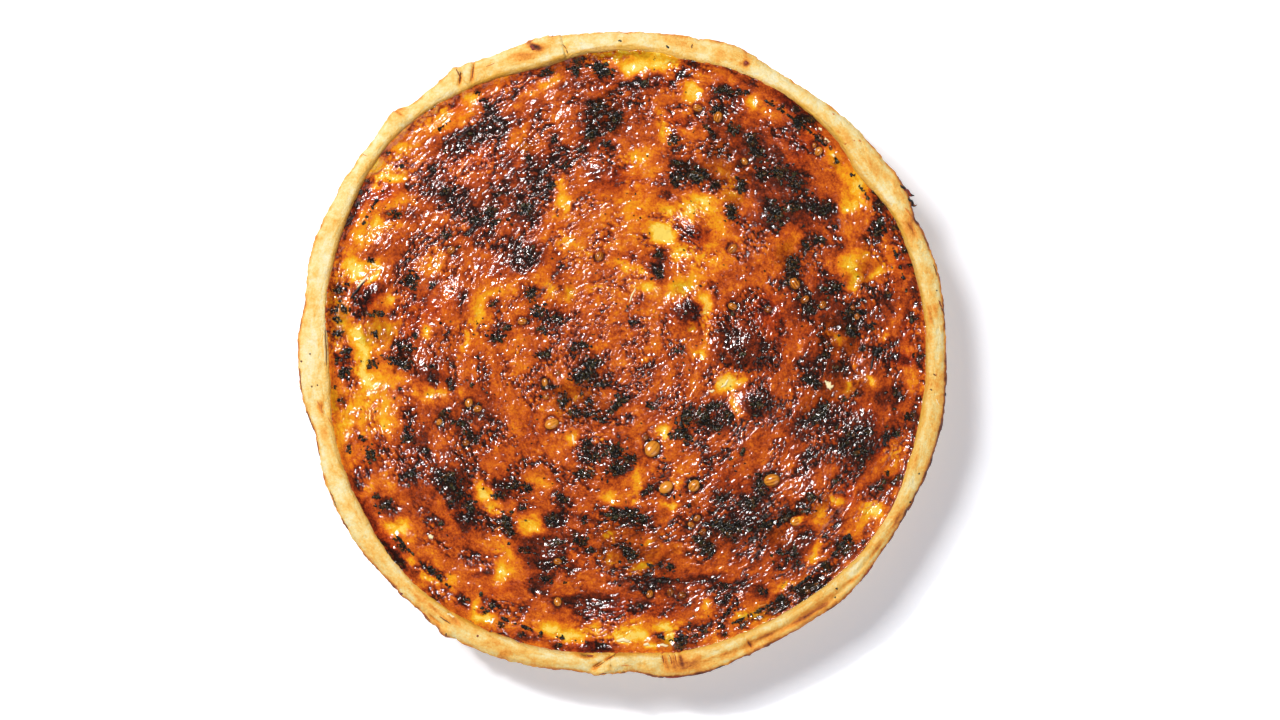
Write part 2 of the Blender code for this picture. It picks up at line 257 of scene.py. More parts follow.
def spots(points, features, sharpness=1.0):
    """The sum of soft ovals: (x, y, half length, half width, turn, amount)."""
    total = np.zeros(points.shape[:-1])
    for x, y, half_length, half_width, turn, amount in features:
        slant = math.radians(turn)
        east, north = points[..., 0] - x, points[..., 1] - y
        along = (east * math.cos(slant) + north * math.sin(slant)) / half_length
        across = (north * math.cos(slant) - east * math.sin(slant)) / half_width
        total += amount * np.exp(-((along**2 + across**2) ** sharpness))
    return total


def grooves(points, features):
    """How deep in a crack each point lies: (x, y, x, y, width, depth), rounded across."""
    total = np.zeros(points.shape[:-1])
    for x0, y0, x1, y1, width, depth in features:
        run = np.array([x1 - x0, y1 - y0])
        offset = points[..., :2] - (x0, y0)
        share = np.clip(offset @ run / (run @ run), 0.0, 1.0)
        away = np.linalg.norm(offset - share[..., None] * run, axis=-1)
        taper = np.sqrt(np.clip(4.0 * share * (1.0 - share), 0.15, 1.0))
        total = np.maximum(total, depth * taper * np.exp(-((away / width) ** 2)))
    return total


def wall_radius(height):
    """Outer radius of the leaning wall at a height."""
    share = (height - WALL_FOOT[1]) / (WALL_TOP[1] - WALL_FOOT[1])
    return WALL_FOOT[0] + share * (WALL_TOP[0] - WALL_FOOT[0])


def stepped(corners, step):
    """Points no more than step apart along the straight runs between corners."""
    runs = []
    for start, end in zip(corners, corners[1:]):
        count = max(1, math.ceil(math.dist(start, end) / step))
        runs.append(np.linspace(start, end, count, endpoint=False))
    return np.concatenate([*runs, [corners[-1]]])


def eased(line, passes):
    """The same line with its corners rounded: each point moves towards its neighbours' mean."""
    line = line.copy()
    for _ in range(passes):
        line[1:-1] = 0.5 * line[1:-1] + 0.25 * (line[:-2] + line[2:])
    return line


inside = [
    (0.0, PASTRY),
    (BASE_RADIUS - PASTRY, PASTRY),
    (wall_radius(9.0) - PASTRY, 9.0),
    (CUSTARD_RADIUS - 1.7, 28.0),
]
rim = [
    (CUSTARD_RADIUS - 1.7, 28.0),
    (CUSTARD_RADIUS - 0.5, CUSTARD_HEIGHT),
    (CUSTARD_RADIUS - 0.1, RIM_HEIGHT - 0.9),
    (CUSTARD_RADIUS + 0.9, RIM_HEIGHT - 0.15),
    (CUSTARD_RADIUS + 3.0, RIM_HEIGHT),
    (RIM_RADIUS - 1.8, RIM_HEIGHT - 0.8),
    (RIM_RADIUS, RIM_HEIGHT - 2.4),
    (RIM_RADIUS - 0.2, RIM_HEIGHT - 4.0),
    (RIM_RADIUS - 2.0, RIM_HEIGHT - 5.2),
    (WALL_TOP[0] + 1.0, RIM_HEIGHT - 6.2),
    WALL_TOP,
    (wall_radius(25.0), 25.0),
]
outside = [(wall_radius(25.0), 25.0), WALL_FOOT, (WALL_FOOT[0] - 1.1, 0.8), (BASE_RADIUS, 0.0)]
underside = [(BASE_RADIUS, 0.0), (BASE_RADIUS - 6.0, 0.0), (0.0, 0.0)]
section = np.concatenate(
    [
        stepped(inside, 20.0)[:-1],
        eased(stepped(rim, 0.5), 5)[:-1],
        eased(stepped(outside, 1.5), 1)[:-1],
        stepped(underside, 14.0),
    ]
)

# Angles round the case stand closer together where the dough is folded or cracked
CLOSER_AT = ((101, 6), (119, 5), (134, 3), (268, 7), (279, 6), (294, 3), (27, 4))
ROUND_STEPS = 975
even = np.linspace(0.0, 360.0, 7201)
crowding = 1.0 + sum(np.exp(-((turn_between(even, at) / spread) ** 2)) for at, spread in CLOSER_AT)
crowding = np.cumsum(crowding)
crowding = (crowding - crowding[0]) / (crowding[-1] - crowding[0])
angles = np.interp(np.arange(ROUND_STEPS) / ROUND_STEPS, crowding, even)

turn = np.radians(angles)[None, :]
case_points = np.stack(
    [section[:, :1] * np.cos(turn), section[:, :1] * np.sin(turn), section[:, 1:] + 0.0 * turn],
    axis=-1,
)
case_radius = np.hypot(case_points[..., 0], case_points[..., 1])
case_points = hand_shaped(case_points)


def outward(grid):
    """Unit normals of a grid of points that closes round its second axis."""
    along = np.gradient(grid, axis=0)
    wrapped = np.concatenate([grid[:, -1:], grid, grid[:, :1]], axis=1)
    across = np.gradient(wrapped, axis=1)[:, 1:-1]
    normal = np.cross(along, across)
    length = np.linalg.norm(normal, axis=-1, keepdims=True)
    return np.divide(normal, length, out=np.zeros_like(normal), where=length > 1e-9)


# Cracks and splits in the rim: (x, y, x, y, width, depth)
RIM_CRACKS = (
    (-54.6, 95.6, -55.2, 90.4, 0.45, 1.5), (-50.3, 98.6, -51, 91.6, 0.5, 1.3),
    (-77.6, 82.6, -74, 80.2, 0.5, 0.8), (-10.2, -106.2, -6.6, -103.6, 0.6, 1.7),
    (-6.6, -103.6, -2.2, -100.8, 0.5, 1.5), (-13.5, -101.2, -9.5, -101.8, 0.4, 1),
    (13.2, -100.8, 14.2, -105.6, 0.4, 0.7), (15.4, -100.9, 16.6, -105.4, 0.35, 0.6),
    (17, -100.6, 18.3, -105.2, 0.35, 0.6), (19, -100.4, 20.2, -104.8, 0.35, 0.5),
    (42, -96.6, 44, -99.6, 0.45, 0.9), (-65.5, -88, -62, -91, 0.45, 0.9),
    (-58.5, -87, -55.5, -91, 0.5, 0.7), (96, 45, 98.6, 40, 0.4, 0.6), (-102.6, -15.6, -99, -21, 0.5, 0.6),
    (74, -75, 79, -77.5, 0.4, 0.6),
)
# Flakes and lumps of dough that stand on the rim: (x, y, half length, half width, turn, height)
RIM_FLAKES = (
    (-56.6, 94.6, 1.6, 3, 15, 0.7), (-53, 96.6, 3, 1.4, 25, 0.5), (-27, 103.6, 4.6, 2.6, 10, 0.5),
    (-7.6, -106.8, 3, 1.3, 18, 1.1), (-2, -103.4, 4.5, 1.4, 10, 0.7), (10, -104, 2.2, 2.6, 60, 0.4),
    (-60, -94, 3, 1.6, -35, 0.7), (-76, 80.6, 3.2, 2.6, 40, 0.4), (-88, 67, 3, 2.2, 50, 0.3),
    (61, -90, 6, 1.4, 35, 0.4), (78, -76, 3, 1.6, 40, 0.5), (84, 62, 5, 2.5, -50, 0.3),
)
# Heights of the dough's grain, in millimetres: lumps, crumb, pits, blisters on the wall, the torn
# lip and its frayed edge
LUMPS = 0.28
CRUMB = 0.17
PIT_DEPTH = 0.25
BLISTER_RISE = 0.5
TORN = 0.40
FRAYED = 0.3
FLAKES_TIMES = 1.3

normals = outward(case_points)
on_rim = ramp(section[:, 1], RIM_HEIGHT - 8.0, RIM_HEIGHT - 4.0)[:, None]
hidden = (section[:, 0] < CUSTARD_RADIUS - 1.0)[:, None] & (section[:, 1] > 1.0)[:, None]
crumb = LUMPS * cloud(case_points, 7.0, 3) + CRUMB * cloud(case_points, 1.9, 9, 2)
pits = ramp(noise(case_points, 1.7, 21), 0.42, 0.75) * PIT_DEPTH
on_wall = 1.0 - on_rim
blisters = ramp(noise(case_points, 9.0, 27), 0.25, 0.6) * BLISTER_RISE * on_wall
lip = ramp(case_radius, RIM_RADIUS - 2.2, RIM_RADIUS - 0.4) * on_rim
ragged = lip * (TORN * cloud(case_points, 3.2, 33, 3) + FRAYED * noise(case_points, 1.2, 37) - FRAYED)
relief = crumb - pits + blisters + ragged
relief += on_rim * (FLAKES_TIMES * spots(case_points, RIM_FLAKES, 1.6) - grooves(case_points, RIM_CRACKS))
relief = np.where(hidden, 0.0, relief)
relief[section[:, 1] < 1e-6] = 0.0
case_points = case_points + normals * relief[..., None]
case_points[..., 2] = np.maximum(case_points[..., 2], 0.0)
over = np.maximum(case_points[..., 2] - HIGHEST + ROUNDED_OFF, 0.0)
case_points[..., 2] -= over - ROUNDED_OFF * np.tanh(over / ROUNDED_OFF)

# How far each place of the pastry has baked, 0 for raw dough to 1 for burnt, with thin dark lines of painted
# shade along its cracks and furrow
BAKED_PLACES_AND_CREASE_SHADE = (
    (-33, 100.5, 6, 2.8, 15, 0.34), (-29.5, 103.6, 2.6, 0.9, -25, 0.75), (41.5, 98, 1.3, 1, 0, 0.6),
    (-102, -17.5, 1.6, 2.6, -40, 0.28), (-98, -23, 2.4, 4.5, -30, 0.2), (75, 73, 4, 2, -55, 0.16),
    (86, 62, 6, 2.2, -55, 0.18), (95, 52, 5, 1.8, -60, 0.16), (98, 42, 5, 2.2, -65, 0.22),
    (107, -20, 10, 2.4, 85, 0.16), (104, -38, 8, 2, 70, 0.2), (103.5, 14, 12, 1.6, 85, 0.14),
    (62, -88.5, 14, 2, 36, 0.2), (44, -98, 8, 2.2, 28, 0.22), (22, -104.5, 8, 2.2, 8, 0.28),
    (-64, -90.5, 7, 2, -42, 0.24), (-55, 86, 20, 3, 34, 0.14), (-84, 60, 24, 3, 58, 0.16),
    (-58, -88, 26, 4, -35, 0.12), (-94, -44, 18, 3, -62, 0.08), (-13, -101.4, 2.6, 1, -8, 0.6),
    # The long thin ovals here and below, about a millimetre across, are dark lines along the rim's cracks and
    # furrow: painted shade in them, with some toasted dough along the cracks
    (-44, -98, 9, 2, -24, 0.12), (14.5, -103.5, 0.7, 2.6, 12, 0.35), (16.8, -103.2, 0.7, 2.6, 14, 0.35),
    (19.4, -102.8, 0.7, 2.6, 14, 0.3), (-46, 96.5, 6, 1.4, 28, 0.1), (0, 107, 14, 1.6, 0, 0.05),
    (30, 102, 12, 2, -16, 0.08), (77.3, -76.2, 5, 0.6, 37, 0.3), (85.4, -66, 5.5, 0.6, 53, 0.28),
    (62, -88.2, 7, 0.6, 32, 0.3), (49, -94.6, 6, 0.6, 24, 0.28), (92.6, -55.6, 5, 0.6, 60, 0.25),
    (36, -100.4, 6, 0.6, 18, 0.22), (-62.4, -87, 4, 0.6, -42, 0.26), (-70.6, -80.6, 4, 0.5, -48, 0.14),
    (-101.2, -20, 4, 0.7, -56, 0.2),
)
# Where the outer edge has toasted brown: (angle, spread, amount)
TOASTED_EDGE = (
    (5, 14, 0.8), (27, 10, 1.1), (45, 6, 0.3), (125, 4, 0.3), (176, 10, 0.6), (192, 6, 0.7), (205, 10, 0.3),
    (227, 14, 0.6), (262, 6, 0.6), (280, 10, 1.2), (296, 8, 0.7), (318, 12, 0.7), (338, 10, 0.9),
    (352, 8, 0.7),
)
# The side of the oven that baked the rim darkest
HOTTER_SIDE = -40.0
HOTTER = 0.045
# How far the plain rim has baked, and how that wanders in large clouds and small
PLAIN_BAKE = 0.195
LARGE_CLOUDS = 0.14
SMALL_CLOUDS = 0.07
# Where egg has run over the inner edge and stained it
EGG_STAIN = (
    (8, 12, 0.5), (35, 12, 1), (48, 8, 0.8), (60, 9, 0.5), (84, 9, 1.4), (97, 9, 1.3), (112, 9, 0.8),
    (128, 8, 0.3), (146, 8, 0.3), (163, 8, 0.5), (232, 16, 0.5), (190, 9, 0.6), (200, 6, 0.6),
    (272, 10, 0.6), (290, 10, 0.6), (318, 16, 0.5), (345, 10, 0.5),
)

case_angle = np.degrees(np.arctan2(case_points[..., 1], case_points[..., 0]))
toast = bulges(case_angle, TOASTED_EDGE)
edge_noise = cloud(case_points, 4.0, 41, 3)
past_edge = ramp(case_radius, RIM_RADIUS - 1.6, RIM_RADIUS - 0.2)
below_edge = ramp(-case_points[..., 2], 2.4 - RIM_HEIGHT, 5.0 - RIM_HEIGHT)
below_edge *= ramp(case_radius, 103.5, 105.0)
bake = PLAIN_BAKE + LARGE_CLOUDS * cloud(case_points, 11.0, 45, 3)
bake += SMALL_CLOUDS * cloud(case_points, 2.4, 49, 2)
bake += HOTTER * np.cos(np.radians(case_angle - HOTTER_SIDE))
# Golden places on the rim, and the painted shade along its cracks and furrow
bake += spots(case_points, BAKED_PLACES_AND_CREASE_SHADE) * on_rim
bake += 0.40 * past_edge * np.clip(toast + 0.25 + 0.9 * edge_noise, 0.0, 1.3)
bake += below_edge * (0.30 + 0.16 * edge_noise)
# Darker along the cracks: partly toasted dough, partly painted shade in the cracks
bake += 0.24 * grooves(case_points, RIM_CRACKS) * on_rim
bake += 0.10 * ramp(-case_points[..., 2], -8.0, 0.0)
inner_edge = CUSTARD_RADIUS + bulges(case_angle, INNER_BULGES)
from_custard = np.hypot(case_points[..., 0], case_points[..., 1]) - inner_edge
stain = ramp(-from_custard, -2.6 - 0.8 * edge_noise, 0.6) * (0.35 + bulges(case_angle, EGG_STAIN))
stain = np.clip(stain, 0.0, 1.0) * on_rim


def turned_mesh(name, grid, attributes):
    """A closed mesh from a grid of rings whose first and last ring are the poles.

    Neighbouring rings are joined by quads and each pole is one point with a fan of triangles.
    """
    rings, steps = grid.shape[0] - 2, grid.shape[1]
    middle = grid[1:-1].reshape(-1, 3)
    points = np.concatenate([middle, grid[:1, 0], grid[-1:, 0]]) * MM
    here = np.arange(rings * steps).reshape(rings, steps)
    there = np.roll(here, -1, axis=1)
    quads = np.stack([here[:-1], here[1:], there[1:], there[:-1]], axis=-1).reshape(-1, 4)
    first, last = rings * steps, rings * steps + 1
    start = np.stack([np.full(steps, first), here[0], there[0]], axis=-1)
    end = np.stack([here[-1], np.full(steps, last), there[-1]], axis=-1)
    return filled_mesh(name, points, [quads, start, end], {
        key: np.concatenate([value[1:-1].ravel(), value[0, :1], value[-1, :1]])
        for key, value in attributes.items()
    })


def filled_mesh(name, points, face_groups, attributes):
    """Puts points, faces of any sizes and float attributes of the points into one new object."""
    mesh = bpy.data.meshes.new(name)
    sizes = np.concatenate([np.full(len(group), group.shape[1]) for group in face_groups])
    corners = np.concatenate([group.ravel() for group in face_groups])
    mesh.vertices.add(len(points))
    mesh.vertices.foreach_set("co", np.ascontiguousarray(points, np.float32).ravel())
    mesh.loops.add(len(corners))
    mesh.loops.foreach_set("vertex_index", corners.astype(np.int32))
    mesh.polygons.add(len(sizes))
    mesh.polygons.foreach_set("loop_start", np.concatenate([[0], np.cumsum(sizes)[:-1]]).astype(np.int32))
    mesh.polygons.foreach_set("loop_total", sizes.astype(np.int32))
    mesh.polygons.foreach_set("use_smooth", np.ones(len(sizes), bool))
    mesh.update(calc_edges=True)
    for key, value in attributes.items():
        layer = mesh.attributes.new(key, "FLOAT", "POINT")
        layer.data.foreach_set("value", np.ascontiguousarray(value, np.float32).ravel())
    piece = bpy.data.objects.new(name, mesh)
    bpy.context.scene.collection.objects.link(piece)
    return piece


pastry = turned_mesh("pastry", case_points, {"bake": bake, "stain": stain})

# Rolling and trimming drew the dough out along the rim, so its streaks are read on a small circle
STREAK_CIRCLE = 30.0
ways_round = np.radians(case_angle)
drawn_out = np.stack(
    [np.hypot(case_points[..., 0], case_points[..., 1]) + case_points[..., 2],
     STREAK_CIRCLE * np.cos(ways_round), STREAK_CIRCLE * np.sin(ways_round)], axis=-1)
drawn_out = np.concatenate([drawn_out[1:-1].reshape(-1, 3), drawn_out[0, :1], drawn_out[-1, :1]])
streak_layer = pastry.data.attributes.new("flow", "FLOAT_VECTOR", "POINT")
streak_layer.data.foreach_set("vector", drawn_out.astype(np.float32).ravel())


def add(tree, kind, inputs=None, **settings):
    """A shader node with its settings, and with sockets linked or constants set on its inputs."""
    made = tree.nodes.new("ShaderNode" + kind)
    for key, value in settings.items():
        setattr(made, key, value)
    for key, value in (inputs or {}).items():
        if isinstance(value, bpy.types.NodeSocket):
            tree.links.new(value, made.inputs[key])
        else:
            made.inputs[key].default_value = value
    return made


def colour(red, green, blue):
    """A colour as a painter's 0 to 255 mix, turned into linear light."""
    mix = np.array([red, green, blue]) / 255.0
    linear = np.where(mix <= 0.04045, mix / 12.92, ((mix + 0.055) / 1.055) ** 2.4)
    return (*linear.tolist(), 1.0)


def colour_scale(tree, factor, stops):
    """A colour ramp: (place, (red, green, blue)) from low to high."""
    made = add(tree, "ValToRGB", {"Fac": factor})
    elements = made.color_ramp.elements
    while len(elements) < len(stops):
        elements.new(0.5)
    for element, (place, mix) in zip(elements, stops):
        element.position = place
        element.color = colour(*mix)
    return made.outputs["Color"]


def millimetres(tree):
    """Object coordinates in millimetres."""
    place = add(tree, "TexCoord").outputs["Object"]
    return add(tree, "VectorMath", {0: place, "Scale": 1.0 / MM}, operation="SCALE").outputs[0]


def speckle(tree, place, per_mm, detail=3.0, roughness=0.55, distortion=0.0):
    """Noise from 0 to 1 with that many features to the millimetre."""
    inputs = {"Vector": place, "Scale": per_mm, "Detail": detail, "Roughness": roughness}
    inputs["Distortion"] = distortion
    return add(tree, "TexNoise", inputs).outputs["Fac"]


def sums(tree, *terms):
    """The sum of (socket, factor) pairs, with each socket centred on 0.5 where a third value asks."""
    total = None
    for socket, factor, *centred in terms:
        if centred:
            socket = add(tree, "Math", {0: socket, 1: 0.5}, operation="SUBTRACT").outputs[0]
        inputs = {0: socket, 1: factor, 2: 0.0 if total is None else total}
        total = add(tree, "Math", inputs, operation="MULTIPLY_ADD").outputs[0]
    return total


def attribute(tree, name):
    """A float attribute of the mesh's points."""
    return add(tree, "Attribute", attribute_name=name).outputs["Fac"]


def mixed(tree, factor, first, second, blend="MIX"):
    """Two colours mixed by a factor."""
    made = add(tree, "Mix", data_type="RGBA", blend_type=blend)
    for socket, value in ((0, factor), (6, first), (7, second)):
        if isinstance(value, bpy.types.NodeSocket):
            tree.links.new(value, made.inputs[socket])
        else:
            made.inputs[socket].default_value = value
    return made.outputs[2]


def between(tree, value, low, high, start=0.0, end=1.0):
    """A smooth step from start to end as value goes from low to high."""
    inputs = {"Value": value, "From Min": low, "From Max": high, "To Min": start, "To Max": end}
    return add(tree, "MapRange", inputs, interpolation_type="SMOOTHSTEP").outputs["Result"]


def new_material(name):
    """A node material and its tree and shader."""
    material = bpy.data.materials.new(name)
    material.use_nodes = True
    return material, material.node_tree, material.node_tree.nodes["Principled BSDF"]


shortcrust, tree, shader = new_material("baked_shortcrust")
place = millimetres(tree)
rolled = add(tree, "Attribute", attribute_name="flow").outputs["Vector"]
mottle = speckle(tree, place, 0.22, 4.0, 0.6, 0.8)
rolled_streaks = speckle(tree, rolled, 0.45, 4.0, 0.6, 0.5)
grain = speckle(tree, place, 1.3, 4.0, 0.65)
baked = sums(
    tree,
    (mottle, 0.38, True),
    (rolled_streaks, 0.68, True),
    (grain, 0.38, True),
    (attribute(tree, "bake"), 1.0),
)
CRUST_COLOURS = (
    (0.00, (255, 243, 200)),
    (0.16, (255, 226, 150)),
    (0.30, (254, 199, 98)),
    (0.45, (245, 157, 54)),
    (0.62, (196, 108, 38)),
    (0.80, (120, 56, 24)),
    (1.00, (46, 24, 16)),
)
EGG_COLOURS = ((0.3, (232, 164, 48)), (0.7, (252, 190, 66)))
crust = colour_scale(tree, baked, CRUST_COLOURS)
egg = colour_scale(tree, speckle(tree, place, 0.5, 3.0), EGG_COLOURS)
stain_here = sums(tree, (attribute(tree, "stain"), 1.0), (grain, 0.5, True))
stained = between(tree, stain_here, 0.15, 0.75, 0.0, 0.8)
tree.links.new(mixed(tree, stained, crust, egg), shader.inputs["Base Color"])
tree.links.new(between(tree, stained, 0.0, 0.8, 0.62, 0.38), shader.inputs["Roughness"])
shader.inputs["Specular IOR Level"].default_value = 0.35
crumble = sums(tree, (grain, 1.0), (speckle(tree, place, 3.0, 2.0), 0.4), (rolled_streaks, 1.6))
crust_bump = add(tree, "Bump", {"Height": crumble, "Strength": 1.0, "Distance": 0.45 * MM})
tree.links.new(crust_bump.outputs["Normal"], shader.inputs["Normal"])
pastry.data.materials.append(shortcrust)
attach(pastry, "root")
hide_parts("pastry_case")


# The crumbs
# Toasted crumbs of pastry, flecks of herb and hairline cracks on the rim, each a thin closed
# sliver that lies on the pastry and tapers to both ends. The dark threads along the cracks and
# fold edges are partly toasted dough and partly painted shade.
# (x, y, x, y, width, colour), where 0 is nearly black, 1 is brown, 2 is red-brown, 3 is orange
# and 4 is pale cream
RIM_SLIVERS = (
    (-24.4, 107.9, -23.6, 107, 0.8, 0), (-1.7, 105.7, -0.3, 105.4, 0.7, 0), (14.4, 104, 15.6, 103, 0.7, 0),
    (23.4, 104.6, 23.2, 103, 0.5, 1), (30, 96.6, 31, 96.2, 0.8, 0), (40.8, 98.3, 42.2, 97.7, 1.4, 2),
    (-31.2, 104, -29.6, 102.2, 1.3, 2), (-30, 102.8, -28, 101.4, 1.5, 2),
    (-29, 103.4, -28.2, 102.2, 0.9, 0), (-20.4, 104.4, -19, 102.6, 0.3, 1),
    (-19, 102.6, -18.6, 101.2, 0.4, 1), (-54.7, 95.4, -55.1, 90.8, 0.5, 1), (-50.6, 98, -51, 92.6, 0.5, 1),
    (-56.4, 96.4, -54.6, 93, 0.4, 2), (-77.4, 82.4, -74.4, 80.6, 0.4, 3), (-46.4, 96.8, -43, 98.2, 0.3, 3),
    (-88.4, 68, -86, 66.6, 0.3, 3), (74.6, 71.2, 75.4, 70.8, 0.7, 3), (79.6, 72.3, 80.4, 71.7, 0.6, 3),
    (70.6, 81.2, 71.4, 80.8, 0.6, 3), (77.7, 72.2, 78.3, 71.8, 0.5, 3), (74.7, 66.2, 75.3, 65.8, 0.6, 1),
    (105.6, 21.6, 106, 21.2, 0.5, 0), (106.4, 18.2, 107.4, 15.6, 0.6, 2),
    (107.2, 15.8, 108.5, 12.8, 0.7, 1), (108.4, 12.6, 108.8, 8, 0.35, 1), (109, 1, 109.3, -6, 0.5, 2),
    (109.3, -6, 109.2, -11, 0.7, 1), (108.9, -13, 109.1, -14.2, 0.7, 0), (108.8, -15, 107.8, -21, 0.5, 1),
    (107.6, -21.4, 106.4, -26.4, 0.6, 1), (104.6, -6.6, 105.6, -7.2, 0.5, 1),
    (105.4, -6.4, 105.6, -7.6, 0.4, 3), (103.4, -11.8, 104.2, -12.4, 0.5, 1),
    (105.4, -15, 106.6, -17.4, 0.4, 4), (101.6, -3, 102.4, -9, 0.3, 3), (102, 12, 102.6, 4, 0.35, 3),
    (103.4, -40, 101.4, -45, 0.7, 1), (99.6, -40.6, 100.2, -40.2, 0.6, 0),
    (96.6, -50.2, 97.4, -49.8, 0.7, 0), (98.8, -49, 96.6, -53.4, 0.6, 1), (92, -60.6, 89.4, -64.4, 0.6, 1),
    (84.6, -71.4, 81.6, -75.2, 0.7, 2), (71.6, -79.2, 72.4, -78.8, 0.8, 0),
    (71.2, -82.2, 71.8, -81.8, 0.6, 0), (73, -84.6, 68.4, -87, 0.5, 1), (56, -95.2, 50, -97.6, 0.4, 2),
    (42, -96.8, 43.4, -99, 0.5, 1), (44, -99.6, 46.6, -98.8, 0.3, 3), (30, -107, 22, -108.8, 0.7, 1),
    (21, -109, 14, -109.2, 0.6, 2), (34.6, -105, 31, -106.4, 0.5, 0), (13.2, -101.4, 13.8, -104.4, 0.35, 2),
    (15.6, -101.4, 16.4, -104.6, 0.3, 2), (17.4, -101, 18, -104.2, 0.3, 2),
    (-9.6, -105.8, -5.8, -103.4, 0.3, 1), (-5.8, -103.4, -2, -100.8, 0.3, 1),
    (-12.4, -101.4, -9.8, -101.6, 0.6, 2), (-8.2, -108, -5.4, -107.6, 0.5, 2),
    (-2, -104.6, 3, -105, 0.3, 3), (-49.4, -95.2, -48.6, -94.8, 0.8, 2), (-60.6, -94.9, -59.4, -94.1, 1, 1),
    (-67.6, -89.4, -66.4, -88.6, 0.9, 1), (-75.6, -81.4, -74.4, -80.6, 1, 2),
    (-85.6, -71.4, -84.4, -70.6, 0.9, 1), (-62, -88.4, -58, -91, 0.4, 1),
    (-59.4, -87.4, -56.8, -88.8, 1, 4), (-68, -87, -65, -90, 0.4, 2), (-95, -55.2, -92.4, -59.8, 0.5, 1),
    (-108.8, -2.2, -108.2, -2.8, 0.7, 1), (-105.7, 0.3, -105.3, -0.3, 0.6, 1),
    (-105.2, -10.7, -104.8, -11.3, 0.6, 1), (-103.2, -10.2, -102.8, -10.8, 0.5, 1),
    (-109.4, 5, -109.4, -3, 0.4, 3), (-109.2, -4, -108.4, -13, 0.5, 2), (-103, -15.8, -101, -20.2, 0.7, 3),
    (-100.5, 10, -99.8, -5, 0.4, 1), (-101.1, 9, -100.5, -4, 0.35, 4), (-107.6, -19, -105.4, -25.4, 0.5, 1),
    (-104.8, -28, -102.8, -35, 0.4, 2), (-99, -46, -96.6, -52, 0.4, 1), (-99.6, -21, -96.4, -26, 0.4, 3),
    (104.6, 30.4, 106, 26, 0.4, 1), (100.8, 40.6, 103, 36, 0.5, 1), (-0.6, -108, 1, -107.6, 0.4, 1),
    (8, -107.8, 12, -108.6, 0.4, 1), (2, 108, -4, 109.2, 0.3, 3),
)
# Burnt shards of dough that stick out past the rim, in the same form
BURNT_SHARDS = (
    (93.4, 57, 95.8, 55, 1.2, 0), (94.6, 55.6, 97.4, 53, 1.5, 2), (96, 52.6, 98.6, 49.6, 1.3, 0),
    (96.8, 54.2, 98.4, 53.4, 0.7, 0), (97.6, 50.8, 99.4, 50.4, 0.6, 1), (95, 49.4, 97.6, 45.6, 0.7, 3),
)
SLIVER_STEPS = 8
SLIVER_ROUND = 6
CRUMB_THICK = 0.5
SHARD_THICK = 0.9
SHARD_OVERHANG = 2.4
OVERHEAD = 0.2


def slivers(surface, lines, thickness, overhang=0.0):
    """Points of tapering threads that lie on a surface, all of them on one grid.

    A thread's width and thickness follow the square root of a parabola along it, its middle
    line bends with the surface below, found by a ray from overhead, and its section is an oval.
    """
    lines = np.array(lines, float)
    share = np.linspace(0.0, 1.0, SLIVER_STEPS + 1)
    middle = lines[:, None, :2] + share[:, None] * (lines[:, 2:4] - lines[:, :2])[:, None]
    draw = np.random.RandomState(len(lines))
    bend = draw.normal(0.0, 0.10, (len(lines), 1)) * np.sin(math.pi * share) * lines[:, 4:5] * 3.0
    bend += 0.12 * np.sin(draw.uniform(0.0, 6.3, (len(lines), 1)) + 11.0 * share) * lines[:, 4:5]
    run = lines[:, 2:4] - lines[:, :2]
    run = run / np.linalg.norm(run, axis=1, keepdims=True)
    sideways = np.stack([-run[:, 1], run[:, 0]], axis=1)
    middle = middle + bend[..., None] * sideways[:, None]
    away = np.linalg.norm(middle, axis=-1)
    toward = np.degrees(np.arctan2(middle[..., 1], middle[..., 0]))
    edge = RIM_RADIUS - 0.5 + overhang + bulges(toward, LIP_BULGES)
    middle = middle * np.minimum(1.0, edge / away)[..., None]
    height = np.array([ground(surface, x, y) for x, y in middle.reshape(-1, 2)]).reshape(middle.shape[:2])
    height = np.minimum(height, HIGHEST - thickness)
    size = np.sqrt(np.clip(4.0 * share * (1.0 - share), 0.0, 1.0))[None, :, None]
    around = np.linspace(0.0, 2.0 * math.pi, SLIVER_ROUND, endpoint=False)[None, None, :]
    out = 0.5 * lines[:, 4][:, None, None] * size * np.cos(around)
    up = 0.5 * thickness * size * np.sin(around)
    return np.stack(
        [middle[..., 0, None] + out * sideways[:, 0][:, None, None],
         middle[..., 1, None] + out * sideways[:, 1][:, None, None],
         height[..., None] + up], axis=-1)


def ground(surface, x, y):
    """Height of a piece's top at a place, in millimetres."""
    met, point, _, _ = surface.ray_cast((x * MM, y * MM, OVERHEAD), (0.0, 0.0, -1.0))
    return point[2] / MM if met else RIM_HEIGHT - 3.0


def closed_threads(name, grid, tones):
    """One mesh from threads of rings, each closed by its two end points, with a tone for each."""
    threads, _, round_count, _ = grid.shape
    rings = grid[:, 1:-1]
    ring_count = rings.shape[1]
    per = ring_count * round_count + 2
    points = np.concatenate([rings.reshape(threads, -1, 3), grid[:, :1, 0], grid[:, -1:, 0]], axis=1)
    here = np.arange(ring_count * round_count).reshape(ring_count, round_count)
    there = np.roll(here, -1, axis=1)
    quads = np.stack([here[:-1], there[:-1], there[1:], here[1:]], axis=-1).reshape(-1, 4)
    start = np.stack([np.full(round_count, per - 2), there[0], here[0]], axis=-1)
    end = np.stack([np.full(round_count, per - 1), here[-1], there[-1]], axis=-1)
    shift = (np.arange(threads) * per)[:, None, None]
    groups = [(faces[None] + shift).reshape(-1, faces.shape[1]) for faces in (quads, start, end)]
    return filled_mesh(name, points.reshape(-1, 3) * MM, groups, {"tone": np.repeat(tones, per)})


